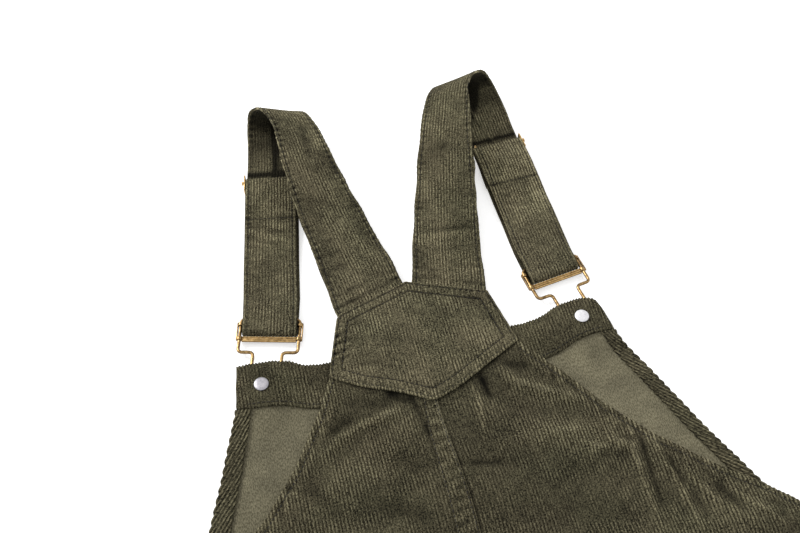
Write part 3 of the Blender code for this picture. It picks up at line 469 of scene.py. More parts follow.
def laySheet(name, top, bottom, cut, tone, finish, node,
             inner=1.0, plain=(1, 1)):
    # a closed thin shell: a fine grid of points above, a plainer one below, joined round the edge
    rows, columns = top.shape[:2]
    keepRows = np.unique(np.append(np.arange(0, rows, plain[0]), rows - 1))
    keepColumns = np.unique(np.append(np.arange(0, columns, plain[1]), columns - 1))
    kept = np.ix_(keepRows, keepColumns)
    upward = np.cross(top[0, 1] - top[0, 0], top[1, 0] - top[0, 0])[2] > 0
    index = np.arange(rows * columns).reshape(rows, columns)
    lower = rows * columns + np.arange(len(keepRows) * len(keepColumns)).reshape(len(keepRows), -1)

    def gridFaces(grid):
        return np.stack([grid[:-1, :-1], grid[:-1, 1:], grid[1:, 1:], grid[1:, :-1]], -1).reshape(-1, 4)

    def rimOf(grid):
        return np.concatenate([grid[0, :], grid[1:, -1], grid[-1, -2::-1], grid[-2:0:-1, 0]])

    upperRim, lowerRim = rimOf(index).tolist(), rimOf(lower).tolist()
    place = {vertex: position for position, vertex in enumerate(upperRim)}
    posts = [place[vertex] for vertex in rimOf(index[kept]).tolist()]
    walls = []
    for k, post in enumerate(posts):
        following = posts[(k + 1) % len(posts)] or len(upperRim)
        span = [upperRim[j % len(upperRim)] for j in range(post, following + 1)]
        walls.append([*span, lowerRim[(k + 1) % len(posts)], lowerRim[k]])
    faces = gridFaces(index).tolist()
    faces = faces if upward else [face[::-1] for face in faces]
    beneath = gridFaces(lower).tolist()
    faces += [face[::-1] for face in beneath] if upward else beneath
    faces += [wall[::-1] for wall in walls] if upward else walls
    spots = toMetres(np.concatenate([top.reshape(-1, 3), bottom[kept].reshape(-1, 3)]))
    sizes = np.array([len(face) for face in faces])
    corners = np.concatenate([np.array(face) for face in faces])
    mesh = bpy.data.meshes.new(name)
    mesh.vertices.add(len(spots))
    mesh.vertices.foreach_set("co", spots.ravel())
    mesh.loops.add(len(corners))
    mesh.loops.foreach_set("vertex_index", corners)
    mesh.polygons.add(len(faces))
    mesh.polygons.foreach_set("loop_start", np.concatenate([[0], np.cumsum(sizes)[:-1]]))
    mesh.update(calc_edges=True)
    layerMap = mesh.uv_layers.new(name="cut")
    both = np.concatenate([cut.reshape(-1, 2), cut[kept].reshape(-1, 2)]) * 0.1
    layerMap.data.foreach_set("uv", both[corners].ravel())
    # tone brings random tone with painted highlights and shade; the underside's tone is also multiplied by
    # inner, painted shade such as inside the loops
    shade = mesh.attributes.new("tone", "FLOAT", "POINT")
    shade.data.foreach_set("value", np.concatenate([tone.ravel(), (tone * inner)[kept].ravel()]))
    mesh.validate()
    mesh.shade_smooth()
    piece = addObject(name, mesh)
    mesh.materials.append(finishes[finish])
    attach(piece, "root")
    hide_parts(node)
    print(name, int((sizes - 2).sum()), "triangles")
    return piece


stitch = {
    "length": 2.5,
    "space": 0.9,
    "radius": 0.28,
    "sides": 6,
    "marks": (0.0, 0.18, 0.5, 0.82, 1.0),  # shares of its length
    "lift": (-0.30, 0.10, 0.20, 0.10, -0.30),  # how it dips into the cloth at both ends
    "girth": (0.35, 0.95, 1.0, 0.95, 0.35),
}


def sew(name, lines, radius=stitch["radius"]):
    # rows of stitches: each line is a path of points in millimetres on the cloth
    vertices, faces = [], []
    count = stitch["sides"]
    ring = [(math.cos(a), math.sin(a)) for a in np.linspace(0, 2 * math.pi, count + 1)[:-1]]
    pitch = stitch["length"] + stitch["space"]
    for path in lines:
        path = np.asarray(path, float)
        steps = np.linalg.norm(np.diff(path, axis=0), axis=1)
        along = np.concatenate([[0], np.cumsum(steps)])
        for k in range(int(along[-1] / pitch)):
            marks = (k + 0.12) * pitch + stitch["length"] * np.array(stitch["marks"])
            spots = np.stack([np.interp(marks, along, path[:, axis]) for axis in range(3)], 1)
            forward = spots[-1] - spots[0]
            forward /= np.linalg.norm(forward) + 1e-9
            side = np.cross((0, 0, 1), forward)
            side /= np.linalg.norm(side) + 1e-9
            rise = np.cross(forward, side)
            base = len(vertices)
            for spot, up, wide in zip(spots, stitch["lift"], radius * np.array(stitch["girth"])):
                for c, s in ring:
                    vertices.append(spot + rise * (up + wide * s) + side * wide * c)
            for low in range(base, base + count * (len(marks) - 1), count):
                for j in range(count):
                    a, b = low + j, low + (j + 1) % count
                    faces.append((a, a + count, b + count, b))
            faces.append(tuple(range(base, base + count)))
            faces.append(tuple(reversed(range(len(vertices) - count, len(vertices)))))
    mesh = bpy.data.meshes.new(name)
    mesh.from_pydata(toMetres(np.array(vertices)).tolist(), [], faces)
    mesh.shade_smooth()
    piece = addObject(name, mesh)
    mesh.materials.append(finishes["thread"])
    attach(piece, "root")
    print(name, len(faces), "faces")
    return piece


def gradeRows(height, offsets, between):
    # shares of each column's height: close rows at both ends, even rows between
    height = np.asarray(height, float)[None, :]
    squeeze = np.minimum(1.0, height / (2.6 * offsets[-1]))
    near = np.array(offsets)[:, None] * squeeze
    t = np.linspace(0, 1, between + 2)[1:-1, None]
    low, high = near[-1:], height - near[-1:]
    return np.concatenate([near, low + t * (high - low), height - near[::-1]])


back = {
    "step": 0.55,  # between the columns of points: four to a wale
    "deep": 227.0,  # from the centre seam out to the side seam
    "joinY": -178.0,  # the wales run straight above this and follow the leg below
    "underYoke": 62.0,  # the yoke covers the top edge this far out
    "corner": {"left": 32.5, "right": 31.0},  # height of the yoke's corner above its point
    "tuck": 10.0,  # how far the panel reaches up under the yoke
    "armholeFrom": 60.0,  # where the turned armhole edge begins
    "hem": 11.5,  # width of the turned armhole edge
    "bead": 3.6,  # the gathered roll along the very edge
    "bunch": {"left": 0.34, "right": 0.17},  # how much paler the armhole hem is
    "fell": 9.4,  # width of the felled centre seam at the yoke
    "spread": 6.6,  # how much wider it grows below
    "legHem": 26.0,  # height of the turned leg end
    "topRows": (0, 0.25, 0.6, 1.1, 1.7, 2.3, 3.0, 3.7, 4.4, 5.4, 6.5, 7.8, 9.2, 10.6, 12.0, 13.8, 16.4),
    "hemRows": (-1150, -1158, -1161, -1162.6, -1164, -1165.5, -1168, -1174, -1180, -1185, -1188, -1189.4,
                -1190),
}
far = 99.0  # a distance for points that an edge does not concern


def armholeEdge(side, sign):
    drop = np.linspace(0, 170, 400)
    settle = ease(drop / 210.0)
    outerY = (back["corner"][side] + back["tuck"] - drop) * (1 - settle) + (back["tuck"] - drop) * settle
    outerX = middleX(back["tuck"] - drop) + sign * smoothAt(backSide, "y", side, outerY)
    return outerX, outerY


def backGrid(side, sign):
    # columns of points along the wales, with close rows at the top edge and at the leg's hem
    deep, joinY = back["deep"], back["joinY"]
    across = np.append(np.arange(0.15, deep - 0.3, back["step"]), deep)
    edgeX, edgeY = armholeEdge(side, sign)
    order = np.argsort(edgeX)
    fromEdge = np.interp(sign * across + bibMiddle, edgeX[order], edgeY[order])
    seamTop = back["tuck"] + across / back["underYoke"] * back["corner"][side]
    topY = np.where(across < back["underYoke"], seamTop, fromEdge)
    scallop = 0.3 * waleWave(across) + 0.25 * ripple(across, 0, 3, 9.0)
    topY = topY + scallop * ease((across - back["underYoke"]) / 4.0) * ease((deep - across) / 6.0)
    slope = np.gradient(topY, across)
    slope = np.convolve(np.pad(slope, 9, mode="edge"), np.ones(19) / 19, mode="valid")
    cosine = 1 / np.sqrt(1 + np.minimum(abs(slope), 1.6) ** 2)
    squeeze = np.minimum(1.0, (topY - joinY) / 60.0)
    near = topY - np.array(back["topRows"])[:, None] * squeeze / cosine
    t = np.linspace(0, 1, 78)[1:, None] ** 1.2
    above = near[-1:] + t * (joinY - near[-1:])
    legY = np.concatenate([np.linspace(joinY, crotchY, 24)[1:], np.linspace(crotchY, -1140, 30)[1:],
                           back["hemRows"]])
    y = np.concatenate([near, above, np.repeat(legY[:, None], len(across), 1)])
    d = np.broadcast_to(across, y.shape)
    phase = (d - across[0]) / (deep - across[0])
    inner = 0.15 + inseamX(y)
    half = smoothAt(backSide, "y", side, np.minimum(y, waistY))
    warped = inner + phase * (half - inner)
    settled = ease(across / 100.0)
    centre = seamX(y) * (1 - settled) + bibMiddle * settled
    x = np.where(y < waistY, seamX(y) + sign * warped, centre + sign * d)
    toArm = np.where(d > back["armholeFrom"], (topY - y) * cosine, far)
    toSide = np.where(y < sideTopY, half - warped, far)
    toSide = np.where(y < crotchY, np.minimum(toSide, warped - inner), toSide)
    toMiddle = np.where(y > crotchY, warped - inner, far)
    run = np.cumsum(np.hypot(np.gradient(across), np.gradient(topY)))
    return across, x, y, d, phase * (deep - across[0]), run, toArm, toSide, toMiddle


def backHalf(side, sign):
    across, x, y, d, phase, run, toArm, toSide, toMiddle = backGrid(side, sign)
    toHem = y - hemY
    under = backZ(x, y, toSide) + 0.05
    quiet = ease((toSide - 2.0) / 14.0) * ease((toArm - 3.0) / 10.0)
    z = backZ(x, y, toSide) + clothSize["wall"] + 1.6 * np.maximum(ridges(creases, x, y), -0.55) * quiet
    z = z + 0.22 * ripple(x, y, 11, 46.0) * quiet + 0.12 * ripple(x, y, 12, 17.0) * quiet
    # the turned armhole edge: a gathered roll along it and uneven puckers across it
    atArm = ease((d - back["armholeFrom"]) / 4)
    inHem = ease((back["hem"] - toArm) / 3.0) * atArm
    roll = ease((back["bead"] + 0.6 - toArm) / 1.2) * atArm
    bead = np.sin(2 * np.pi * (run + 0.7 * toArm) / 4.6 + 1.6 * ripple(run, 0, 5, 26.0))
    bead = bead * (0.7 + 0.5 * ripple(run, 0, 7, 15.0, 3))
    bunch = ripple(run, 0.35 * toArm, 6, 6.5) * (0.75 + 0.4 * ripple(run, 0, 9, 32.0, 3))
    swell = np.sin(np.pi * np.clip((toArm + 0.4) / (back["bead"] + 0.8), 0, 1))
    z = z + roll * (0.35 + 0.42 * bead) * swell
    z = z + inHem * (0.2 + 0.34 * bunch) + seamLine(toArm, back["bead"] + 0.3, 0.6, 0.5) * atArm
    # the felled centre seam lies on the left half
    felled = 0.0
    if sign < 0:
        fell = back["fell"] + back["spread"] * (1 - np.exp(np.minimum(y, 0.0) / 45.0))
        felled = ease((fell - toMiddle) / 1.2) * ease((toMiddle - 0.2) / 0.8)
        pinch = np.sin(np.pi * (y + 0.12 * toMiddle) / 7.1 + 0.9 * ripple(y, 0, 8, 35.0))
        pinch = abs(pinch) ** 0.6 - 0.62 + 0.35 * ripple(y, 0.5 * toMiddle, 10, 5.5)
        z = z + felled * (0.5 + 0.6 * pinch)
        z = z + seamLine(toMiddle, 1.6, 0.35) + seamLine(toMiddle, fell - 1.4, 0.4)
    else:
        z = z - 0.25 * (1 - ease(toMiddle / 2.0))
    z = z + seamLine(toHem, back["legHem"], 0.5, 1.2) + 0.4 * ease((back["legHem"] - toHem) / 1.5)
    z = z + wale(phase) * (1 - 0.35 * inHem) * (1 - 0.8 * felled) + 0.15
    nearest = np.minimum(np.minimum(toArm, toHem), np.where(toSide < 90, toSide, far))
    z = z - edgeRound(np.maximum(nearest, 0))
    under = np.minimum(under, z - 0.4)
    # tone: random tone with painted highlights on the crests of creases and folds and painted shade in their
    # furrows
    crease = np.clip(ridges(creases, x, y) + 0.30 * ridges(folds, x, y), -1.3, 1.9)
    tone = 1.0 + 0.58 * crease + 0.15 * ripple(x, y, 21, 60.0) + 0.12 * ripple(x, y, 22, 15.0)
    crests = waleWave(phase)
    # painted highlights and shade on the armhole's bead and puckers, and painted shade in the groove beside
    # the bead
    tone = tone + roll * (0.45 * bead + 0.30 * crests + 0.25) + inHem * (0.48 * bunch + back["bunch"][side])
    tone = tone - 0.38 * bell(toArm - back["bead"] - 0.4, 0.6) * (0.8 + 0.5 * bunch) * atArm
    # on the felled seam its puckers are painted light and dark, a painted highlight lies beside its inner
    # edge and painted shade along its outer edge; on the right half painted shade lies along the seam
    if sign < 0:
        high = 1 - ease((-34.0 - y) / 22.0)
        tone = tone + felled * (0.10 + 0.16 * high + 0.85 * pinch - 0.22 * crests)
        tone = tone + (0.9 * high + 0.15) * bell(toMiddle - 1.3, 1.1)
        tone = tone - (0.22 + 0.2 * high) * bell(toMiddle - fell - 0.5, 0.8)
    else:
        tone = tone - (0.30 + 0.45 * ease((-24.0 - y) / 22.0)) * bell(toMiddle, 1.0)
    # painted shadow under the yoke's foot
    belowYoke = np.interp(x, yokeFoot["x"], yokeFoot["y"]) - y
    tone = tone - 0.16 * np.exp(-np.maximum(0, belowYoke) / 5.0) - 0.5 * bell(belowYoke, 1.3)
    top = stacked(x, y, z)
    laySheet("backHalf" + side.title(), top, stacked(x, y, under), stacked(phase, y), tone, "back",
             "back_" + side,
             plain=(2, 4))
    armRow = back["topRows"].index(4.4)
    seams = [top[armRow, (across > 63) & (across < 222)] + (0, 0, 0.05)]
    if sign < 0:
        pick = np.flatnonzero((y[:, 0] < 6) & (y[:, 0] > crotchY - 2))
        for inset in (fell[:, 0] - 1.6, 1.4):
            column = np.searchsorted(across, (fell[:, 0] - inset)[pick])
            seams.append(top[pick, column] + (0, 0, 0.1))
    hemRow = int(np.argmin(abs(toHem[:, 10] - back["legHem"])))
    seams.append(top[hemRow, ::3] + (0, 0, 0.1))
    return seams


sew("backStitching", [seam for side, sign in sides.items() for seam in backHalf(side, sign)])


yoke = {
    "step": 0.55,
    "from": -67.2,
    "to": 65.9,
    "lines": (2.0, 8.2),  # the two rows of stitches, in from the edge
    "pucker": 0.34,
    "bulge": 0.5,
    "rows": (0, 0.2, 0.5, 1.0, 1.5, 2.0, 2.6, 3.4, 4.4, 5.6, 6.8, 7.7, 8.3, 9.0, 10.0, 11.4),
}
yokeHollows = table(
    "x0 y0 x1 y1 height half",
    (-51, 40, -28, 34, -0.7, 2.6), (-40, 60, -20, 68, 0.4, 5), (20, 84, 44, 76, -0.5, 3),
    (-10, 20, 20, 30, 0.4, 6), (-30, 50, 10, 44, -0.3, 6), (30, 50, 50, 34, 0.35, 5),
    (44, 66, 58, 44, -0.45, 2.4), (-20, 84, 6, 88, 0.35, 3))


def polygonDistance(x, y, corners):
    nearest = np.full(x.shape, 1e9)
    along = np.zeros(x.shape)
    run = 0.0
    for a, b in zip(corners, np.roll(corners, -1, axis=0)):
        way = b - a
        length = math.hypot(*way)
        t = np.clip(((x - a[0]) * way[0] + (y - a[1]) * way[1]) / length ** 2, 0, 1)
        gap = np.hypot(x - a[0] - t * way[0], y - a[1] - t * way[1])
        closer = gap < nearest
        nearest = np.where(closer, gap, nearest)
        along = np.where(closer, run + t * length, along)
        run += length
    return nearest, along


def insetPath(corners, distance):
    # the outline moved inward, with its corners mitred
    lines = []
    for a, b in zip(corners, np.roll(corners, -1, axis=0)):
        way = (b - a) / math.hypot(*(b - a))
        normal = np.array([-way[1], way[0]])
        lines.append((a + normal * distance, way))
    points = []
    for (p, u), (q, v) in zip(np.roll(np.array(lines), 1, axis=0), np.array(lines)):
        t = np.linalg.solve(np.array([u, -v]).T, q - p)[0]
        points.append(p + t * u)
    return np.array(points + points[:1])


def makeYoke():
    corners = yokeOutline
    xs = np.arange(yoke["from"], yoke["to"], yoke["step"])
    footY = np.interp(xs, yokeFoot["x"], yokeFoot["y"])
    head = np.vstack([corners[:1], corners[:len(yokeFoot["x"]) - 2:-1]])
    headY = np.interp(xs, head[:, 0], head[:, 1])
    y = footY + gradeRows(headY - footY, yoke["rows"], 44)
    x = np.broadcast_to(xs, y.shape)
    distance, run = polygonDistance(x, y, corners)
    atFoot = ease(0.5 + ((headY - y) - (y - footY)) / 12.0)
    first, second = yoke["lines"]
    seams = seamLine(distance, first) + seamLine(distance, second)
    border = np.sin(np.pi * np.clip(distance / second, 0, 1))
    bunch = np.sin(2 * np.pi * run / 4.4 + 1.6 * ripple(run, 0, 31, 40.0))
    bunch = bunch * (0.6 + 0.4 * ripple(run, 0, 32, 24.0))
    # small pleats run in from the left side
    leftSide = ease((-42 - x) / 12.0) * ease((70 - y) / 5.0) * ease((y - 40) / 8.0)
    pleats = np.cos(2 * np.pi * (y - 59.7 - 0.25 * (x + 53)) / 6.4) * leftSide * bell(distance - 3, 12.0)
    hollow = ridges(yokeHollows, x, y)
    inside = ease((distance - 10) / 12.0)
    z = yokeZ + clothSize["wall"] + 0.1 + seams + border * (yoke["bulge"] + yoke["pucker"] * bunch)
    z = z + 0.7 * pleats + inside * (0.35 * ripple(x, y, 34, 55.0) + 0.15 * ripple(x, y, 35, 16.0))
    z = z + 0.5 * hollow + wale(x, 0.5) - edgeRound(distance, 0.8)
    # painted highlights and shade on the border's puckers, the pleats and the hollows, darker along both rows
    # of stitches, and a painted highlight along the edge
    tone = 1.03 + 0.36 * border * bunch + 0.13 * ripple(x, y, 36, 34.0) + 0.11 * ripple(x, y, 37, 11.0)
    tone = tone + 0.5 * pleats + 0.5 * hollow
    tone = tone - (0.85 - 0.6 * atFoot) * bell(distance - first, 0.6)
    tone = tone - (0.80 - 0.15 * atFoot) * bell(distance - second, 0.6)
    tone = tone + (0.15 + 0.35 * atFoot) * bell(distance, 1.2)
    laySheet("yokePanel", stacked(x, y, z), stacked(x, y, yokeZ), stacked(x, y), tone, "yoke",
             "back_yoke",
             plain=(2, 4))
    seamPaths = []
    for at in yoke["lines"]:
        path = insetPath(corners, at)
        dense = [np.linspace(a, b, 24, endpoint=False) for a, b in zip(path, path[1:])]
        dense = np.concatenate(dense + [path[-1:]])
        seamPaths.append(stacked(dense[:, 0], dense[:, 1], yokeZ + clothSize["wall"] - 0.45))
    sew("yokeStitching", seamPaths)


makeYoke()


bib = {
    "rows": (12, 120),  # above and below the foot of the band
    "columns": 200,
    "hemPull": 2.4,  # how far below the band's top the bib's own edge lies
    "ends": (1.6, 2.2, 3.0, 3.8),  # how far in from the side the last columns lie
}
band = {
    "from": -135.4,
    "to": 132.0,
    "step": 0.55,
    "seam": 2.4,  # the stitch line, up from the foot
    "rows": (0, 0.2, 0.6, 1.2, 1.9, 2.8, 3.8),
    "hole": 1.5,  # round the tack the shell is only a skin
}
sideHem = {
    "levels": (1.004, 1.92, 430),
    "insets": (0, 0.15, 0.45, 0.9, *np.linspace(1.4, 10.6, 20), 11.0, 11.2, 11.35, 11.4),
    "lift": 1.16,  # in layers
    "teeth": 0.45,  # how ragged the wales leave its edges
}


def bibLine(level, across):
    top = smoothAt(bibTop, "across", "y", across)
    foot = smoothAt(bandFoot, "across", "y", across)
    waist = waistY + 0.15
    return np.where(level < 1, top + level * (foot - top), foot + (level - 1) * (waist - foot))


def bibGrid(levels, fractions, insets):
    # points across the bib: a fraction of its half width, and how far in from there in millimetres
    level = np.repeat(np.asarray(levels, float)[:, None], len(fractions), 1)
    fraction = np.broadcast_to(np.asarray(fractions, float), level.shape)
    inset = np.broadcast_to(np.asarray(insets, float), level.shape)
    across = np.zeros(level.shape)
    for _ in range(10):
        y = bibLine(level, across)
        half = bySide(bibSide, fraction, y)
        across = fraction * half - np.sign(fraction) * inset
    return bibMiddle + across, y


def makeBib():
    above, below = bib["rows"]
    ends, count = bib["ends"], bib["columns"]
    levels = np.concatenate([np.linspace(0, 1, above), 1 + np.linspace(0, 1, below)[1:]])
    fractions = np.concatenate([[-1] * len(ends), np.linspace(-0.97, 0.97, count), [1] * len(ends)])
    x, y = bibGrid(levels, fractions, np.concatenate([ends, np.zeros(count), ends[::-1]]))
    across = x - bibMiddle
    y = np.minimum(y, bibLine(np.zeros(x.shape), across) - bib["hemPull"])
    openCloth = ease((150 - abs(across)) / 20.0) * ease((bibLine(np.ones(x.shape), across) - 4 - y) / 12.0)
    folded = ridges(wrinkles, x, y)
    under = bibLift(x, y)
    z = under + clothSize["wall"] + openCloth * (0.2 * ripple(x, y, 41, 40.0) + folded)
    # lighter towards the right, and the wrinkles' ridges painted lighter as highlights
    tone = 1.02 + 0.18 * ease((x - 20) / 60) + 0.07 * ripple(x, y, 42, 45.0) + 0.14 * folded
    laySheet("bibFront", stacked(x, y, z), stacked(x, y, under), stacked(x, y), tone, "plain",
             "front_bib",
             plain=(2, 4))


def makeBand():
    across = np.arange(band["from"], band["to"], band["step"])
    reachY = np.linspace(20, 54, 80)
    topY = smoothAt(bibTop, "across", "y", across)
    for side, sign in sides.items():
        reachX = smoothAt(bibSide, "y", side, reachY)
        sideY = np.interp(-sign * across, -reachX, reachY)
        topY = np.minimum(topY, np.where(sign * across > reachX.min(), sideY, far))
    footY = smoothAt(bandFoot, "across", "y", across)
    teeth = 0.38 * waleWave(across) + 0.3 * ripple(across, 0, 43, 8.0)
    topY = topY + teeth * ease((topY - footY) / 12.0)
    height = np.maximum(topY - footY, 0.6)
    y = footY + gradeRows(height, band["rows"], 9)
    x = np.broadcast_to(across + bibMiddle, y.shape)
    toTop, toFoot = footY + height - y, y - footY
    toEnd = bySide(bibSide, x - bibMiddle, y) - abs(x - bibMiddle)
    lift = bibLift(x, y)
    z = lift + layer + clothSize["wall"] + 0.15 + 0.2 * ripple(x, y, 44, 30.0) + wale(across)
    z = z + seamLine(toFoot, band["seam"], 0.35)
    z = z - edgeRound(np.minimum(np.minimum(toTop, toFoot), np.maximum(toEnd, 0.0)))
    # the cloth turns over the bib's top and side edges, so the shell reaches down in front of them
    turned = 1 - ease((np.minimum(toTop, toEnd) - 1.0) / 0.5)
    under = lift + layer * (1 - turned) + 0.05
    rings = [np.hypot(x - buttonX, y - buttonY) for buttonX, buttonY in buttons.values()]
    under = np.where(rings[1] < band["hole"], z - 1.0, under)
    tone = 1.04 + 0.16 * ripple(x, y, 45, 26.0) + 0.11 * ripple(x, y, 46, 9.0)
    # darker along the row of stitches, and painted shade in a ring round each tack, beside the buckle's wire
    tone = tone - 0.25 * bell(toFoot - band["seam"], 0.6)
    tone = tone - 0.16 * bell(np.minimum(*rings) - 7.0, 4.0)
    top = stacked(x, y, z)
    laySheet("bibBand", top, stacked(x, y, under), stacked(x - bibMiddle, y), tone, "band",
             "bib_band", plain=(1, 2))
    row = int(np.argmin(abs((y - footY)[:, 200] - 2.6)))
    sew("bandStitching", [top[row, 14:-14] + (0, 0, 0.1)])


def makeSideHem(side, sign):
    reach = np.linspace(*sideHem["levels"])
    insets = np.array(sideHem["insets"])
    share = insets / insets[-1]
    edgeX, edgeY = (column[:, 0] for column in bibGrid(reach, [sign], [0.0]))
    # across the hem the points step in level with the bib's lines, as the solid's do
    x = np.empty((len(reach), len(insets)))
    y = np.empty_like(x)
    for j, part in enumerate(share):
        across = edgeX - bibMiddle
        for _ in range(6):
            level = bibLine(reach, across)
            width = smoothAt(hemWidth, "y", side, level)
            across = sign * (smoothAt(bibSide, "y", side, level) - part * width)
        x[:, j], y[:, j] = across + bibMiddle, level
    slopeX, slopeY = np.gradient(edgeX), np.gradient(edgeY)
    norm = np.hypot(slopeX, slopeY)
    tangent = np.stack([slopeX / norm, slopeY / norm], 1)
    away = np.stack([x - edgeX[:, None], y - edgeY[:, None]], -1)
    inward = away[..., 0] * tangent[:, None, 1] - away[..., 1] * tangent[:, None, 0]
    mirroredX = x - 2 * inward * tangent[:, None, 1]
    phase = mirroredX + 0.4 * ripple(x, y, 47, 30.0, 3)
    crests = waleWave(phase)
    teeth = sideHem["teeth"] * crests
    x = x + np.sign(x - bibMiddle) * ((teeth + 0.15) * (1 - share) ** 2 - teeth * 0.9 * share ** 6)
    toOut, toIn = abs(inward), abs(inward[:, -1:]) - abs(inward)
    lift = sideHem["lift"] * layer
    z = bibLift(x, y) + lift + clothSize["wall"] + 0.1 + wale(phase, 0.75) + 0.15 * ripple(x, y, 48, 20.0)
    z = z - edgeRound(toOut, 1.0) - edgeRound(toIn, 0.8)
    turned = 1 - ease((toOut - 1.2) / 0.5)
    under = bibLift(x, y) + lift * (1 - turned) + 0.05
    tone = 1.02 + 0.12 * ripple(x, y, 49, 24.0) + 0.10 * ripple(x, y, 50, 7.0)
    # painted shade along the inner edge, and each wale's crest painted lighter
    tone = tone - 0.35 * bell(toIn, 0.6) + 0.28 * crests
    laySheet("bibHem" + side.title(), stacked(x, y, z), stacked(x, y, under), stacked(phase, y), tone, "hem",
             "bib_side_hem_" + side)


makeBib()
makeBand()
for side, sign in sides.items():
    makeSideHem(side, sign)


frontLeg = {
    "inset": 4.3,  # how far its edges lie inside those of the back panel
    "shares": (0, 0.003, 0.01, *np.linspace(0.03, 0.97, 26), 0.99, 0.997, 1.0),
}


def makeFrontLeg(side, sign):
    # the front leg lies under the back panels
    y = np.concatenate([np.linspace(waistY - 0.15, crotchY, 30), np.linspace(crotchY, hemY, 60)[1:]])[:, None]
    share = np.array(frontLeg["shares"])[None, :]
    outer = smoothAt(backSide, "y", side, y) - frontLeg["inset"]
    inner = 0.15 + inseamX(y) + frontLeg["inset"] * ease((crotchY + 10 - y) / 10)
    x = middleX(y) + sign * (inner + share * (outer - inner))
    edge = edgeRound((1 - share) * (outer - inner))
    top, bottom = stacked(x, y, clothSize["wall"] - 0.5 * edge), stacked(x, y, 0.25 * edge)
    tone = 1.0 + 0.05 * ripple(x, y, 51, 50.0)
    laySheet("frontLeg" + side.title(), top, bottom, stacked(x, y), tone, "plain",
             "front_leg_" + side)


for side, sign in sides.items():
    makeFrontLeg(side, sign)


strap = {
    "wide": 38.5,
    "tail": 38.0,  # length of the tail that is sewn down behind the front layer
    "reach": 60.0,  # how far an end's lean bends the line of the strap
    "free": 40.0,  # how far from the metal the layers lie loose
    "edgeSeam": 3.2,
    "barSeam": 37.0,  # the row of stitches that holds the tail, in front of the slider's rod
    "columns": 132,
}
strapSide = {
    "left": {
        "relax": 0.6,  # how much wider the cloth lies where it is free
        "slip": (1.6, 0.0),  # how far the main and the front layer lie to the side
        "slider": (-79.0, 213.6, 8.9),  # its place, and its lean in degrees
        "shadedY": 168.0,  # the open edge is darkest here
        "pucker": 0.72,
        "creaseShade": 1.0,  # how dark the painted crease shadow at the yoke is
    },
    "right": {
        "relax": 1.8,
        "slip": (-0.8, 0.8),
        "slider": (103.4, 208.6, -5.2),
        "shadedY": 195.0,
        "pucker": 0.52,
        "creaseShade": 0.55,
    },
}
buckle = {
    "half": 20.9,  # half the width of the wire
    "top": 54.0,  # heights above the button, as are the fold, the bar, the rail and the shoulder
    "fold": 41.6,
    "bar": 38.3,
    "barReach": (-2.6, 1.7),
    "rail": 51.0,
    "shoulder": 27.3,
    "neck": 10.1,  # half the width of the neck
    "play": 1.3,
    "wire": 1.2,
    "z": 4.1,
    "shank": 2.8,
    "bend": 3.2,
    "ribs": (0.14, 0.5, 0.86),  # where the stamped ribs lie on the bar
}
slider = {"wide": 41.6, "tall": 14.0, "thick": 1.0, "ear": 1.1, "bar": 2.6, "rod": 1.2, "pushedIn": 3.0}
upperStrap = {
    "left": table(
        "x y z turn tilt width",
        (-25.3, 82.9, 4.4, 13.5, 0, 55.5), (-27.2, 91.0, 4.6, 13.5, 0, 55.0),
        (-30.8, 113.0, 7.5, 13.0, 0, 52.5), (-35.8, 137.0, 12.0, 13.0, -3, 50.0),
        (-41.2, 162.0, 18.0, 12.5, -6, 47.5), (-45.8, 185.0, 24.0, 11.0, -9, 44.2),
        (-49.5, 208.0, 29.5, 9.0, -12, 41.0), (-52.0, 228.0, 33.0, 6.0, -16, 39.2),
        (-55.5, 246.0, 33.5, 3.0, -19, 38.5), (-60.0, 260.5, 30.0, 0.0, -21, 38.5),
        (-64.4, 269.4, 22.0, -2.0, -20, 38.5), (-68.0, 272.0, 14.5, -5.0, -15, 38.5),
        (-70.2, 268.5, 7.0, -7.5, -7, 38.5), (-71.8, 258.0, 2.8, -8.6, -1, 38.5),
        (-73.7, 245.0, 1.2, -8.8, 0, 38.5), (-76.3, 228.0, 1.9, -8.9, 0, 38.5)),
    "right": table(
        "x y z turn tilt width",
        (28.8, 80.0, 4.4, -20.0, 0, 54.0), (31.7, 88.0, 4.6, -19.5, 0, 53.5),
        (36.8, 114.0, 7.5, -17.5, 0, 51.5), (42.2, 138.0, 12.0, -16.0, 3, 49.0),
        (47.5, 160.0, 18.0, -15.5, 6, 46.5), (53.0, 183.0, 24.5, -15.5, 10, 44.0),
        (58.3, 204.0, 30.5, -15.5, 14, 41.5), (64.5, 224.0, 34.5, -14.5, 18, 39.5),
        (71.0, 243.5, 35.5, -12.0, 21, 38.5), (79.0, 259.5, 32.0, -7.5, 22, 38.5),
        (87.5, 270.5, 23.5, -3.0, 20, 38.5), (94.5, 274.5, 14.5, 0.0, 15, 38.5),
        (99.6, 271.0, 7.0, 2.0, 7, 38.5), (102.5, 260.0, 2.8, 3.4, 1, 38.5),
        (103.7, 245.0, 1.2, 4.2, 0, 38.5), (103.4, 224.0, 1.9, 5.0, 0, 38.5)),
}
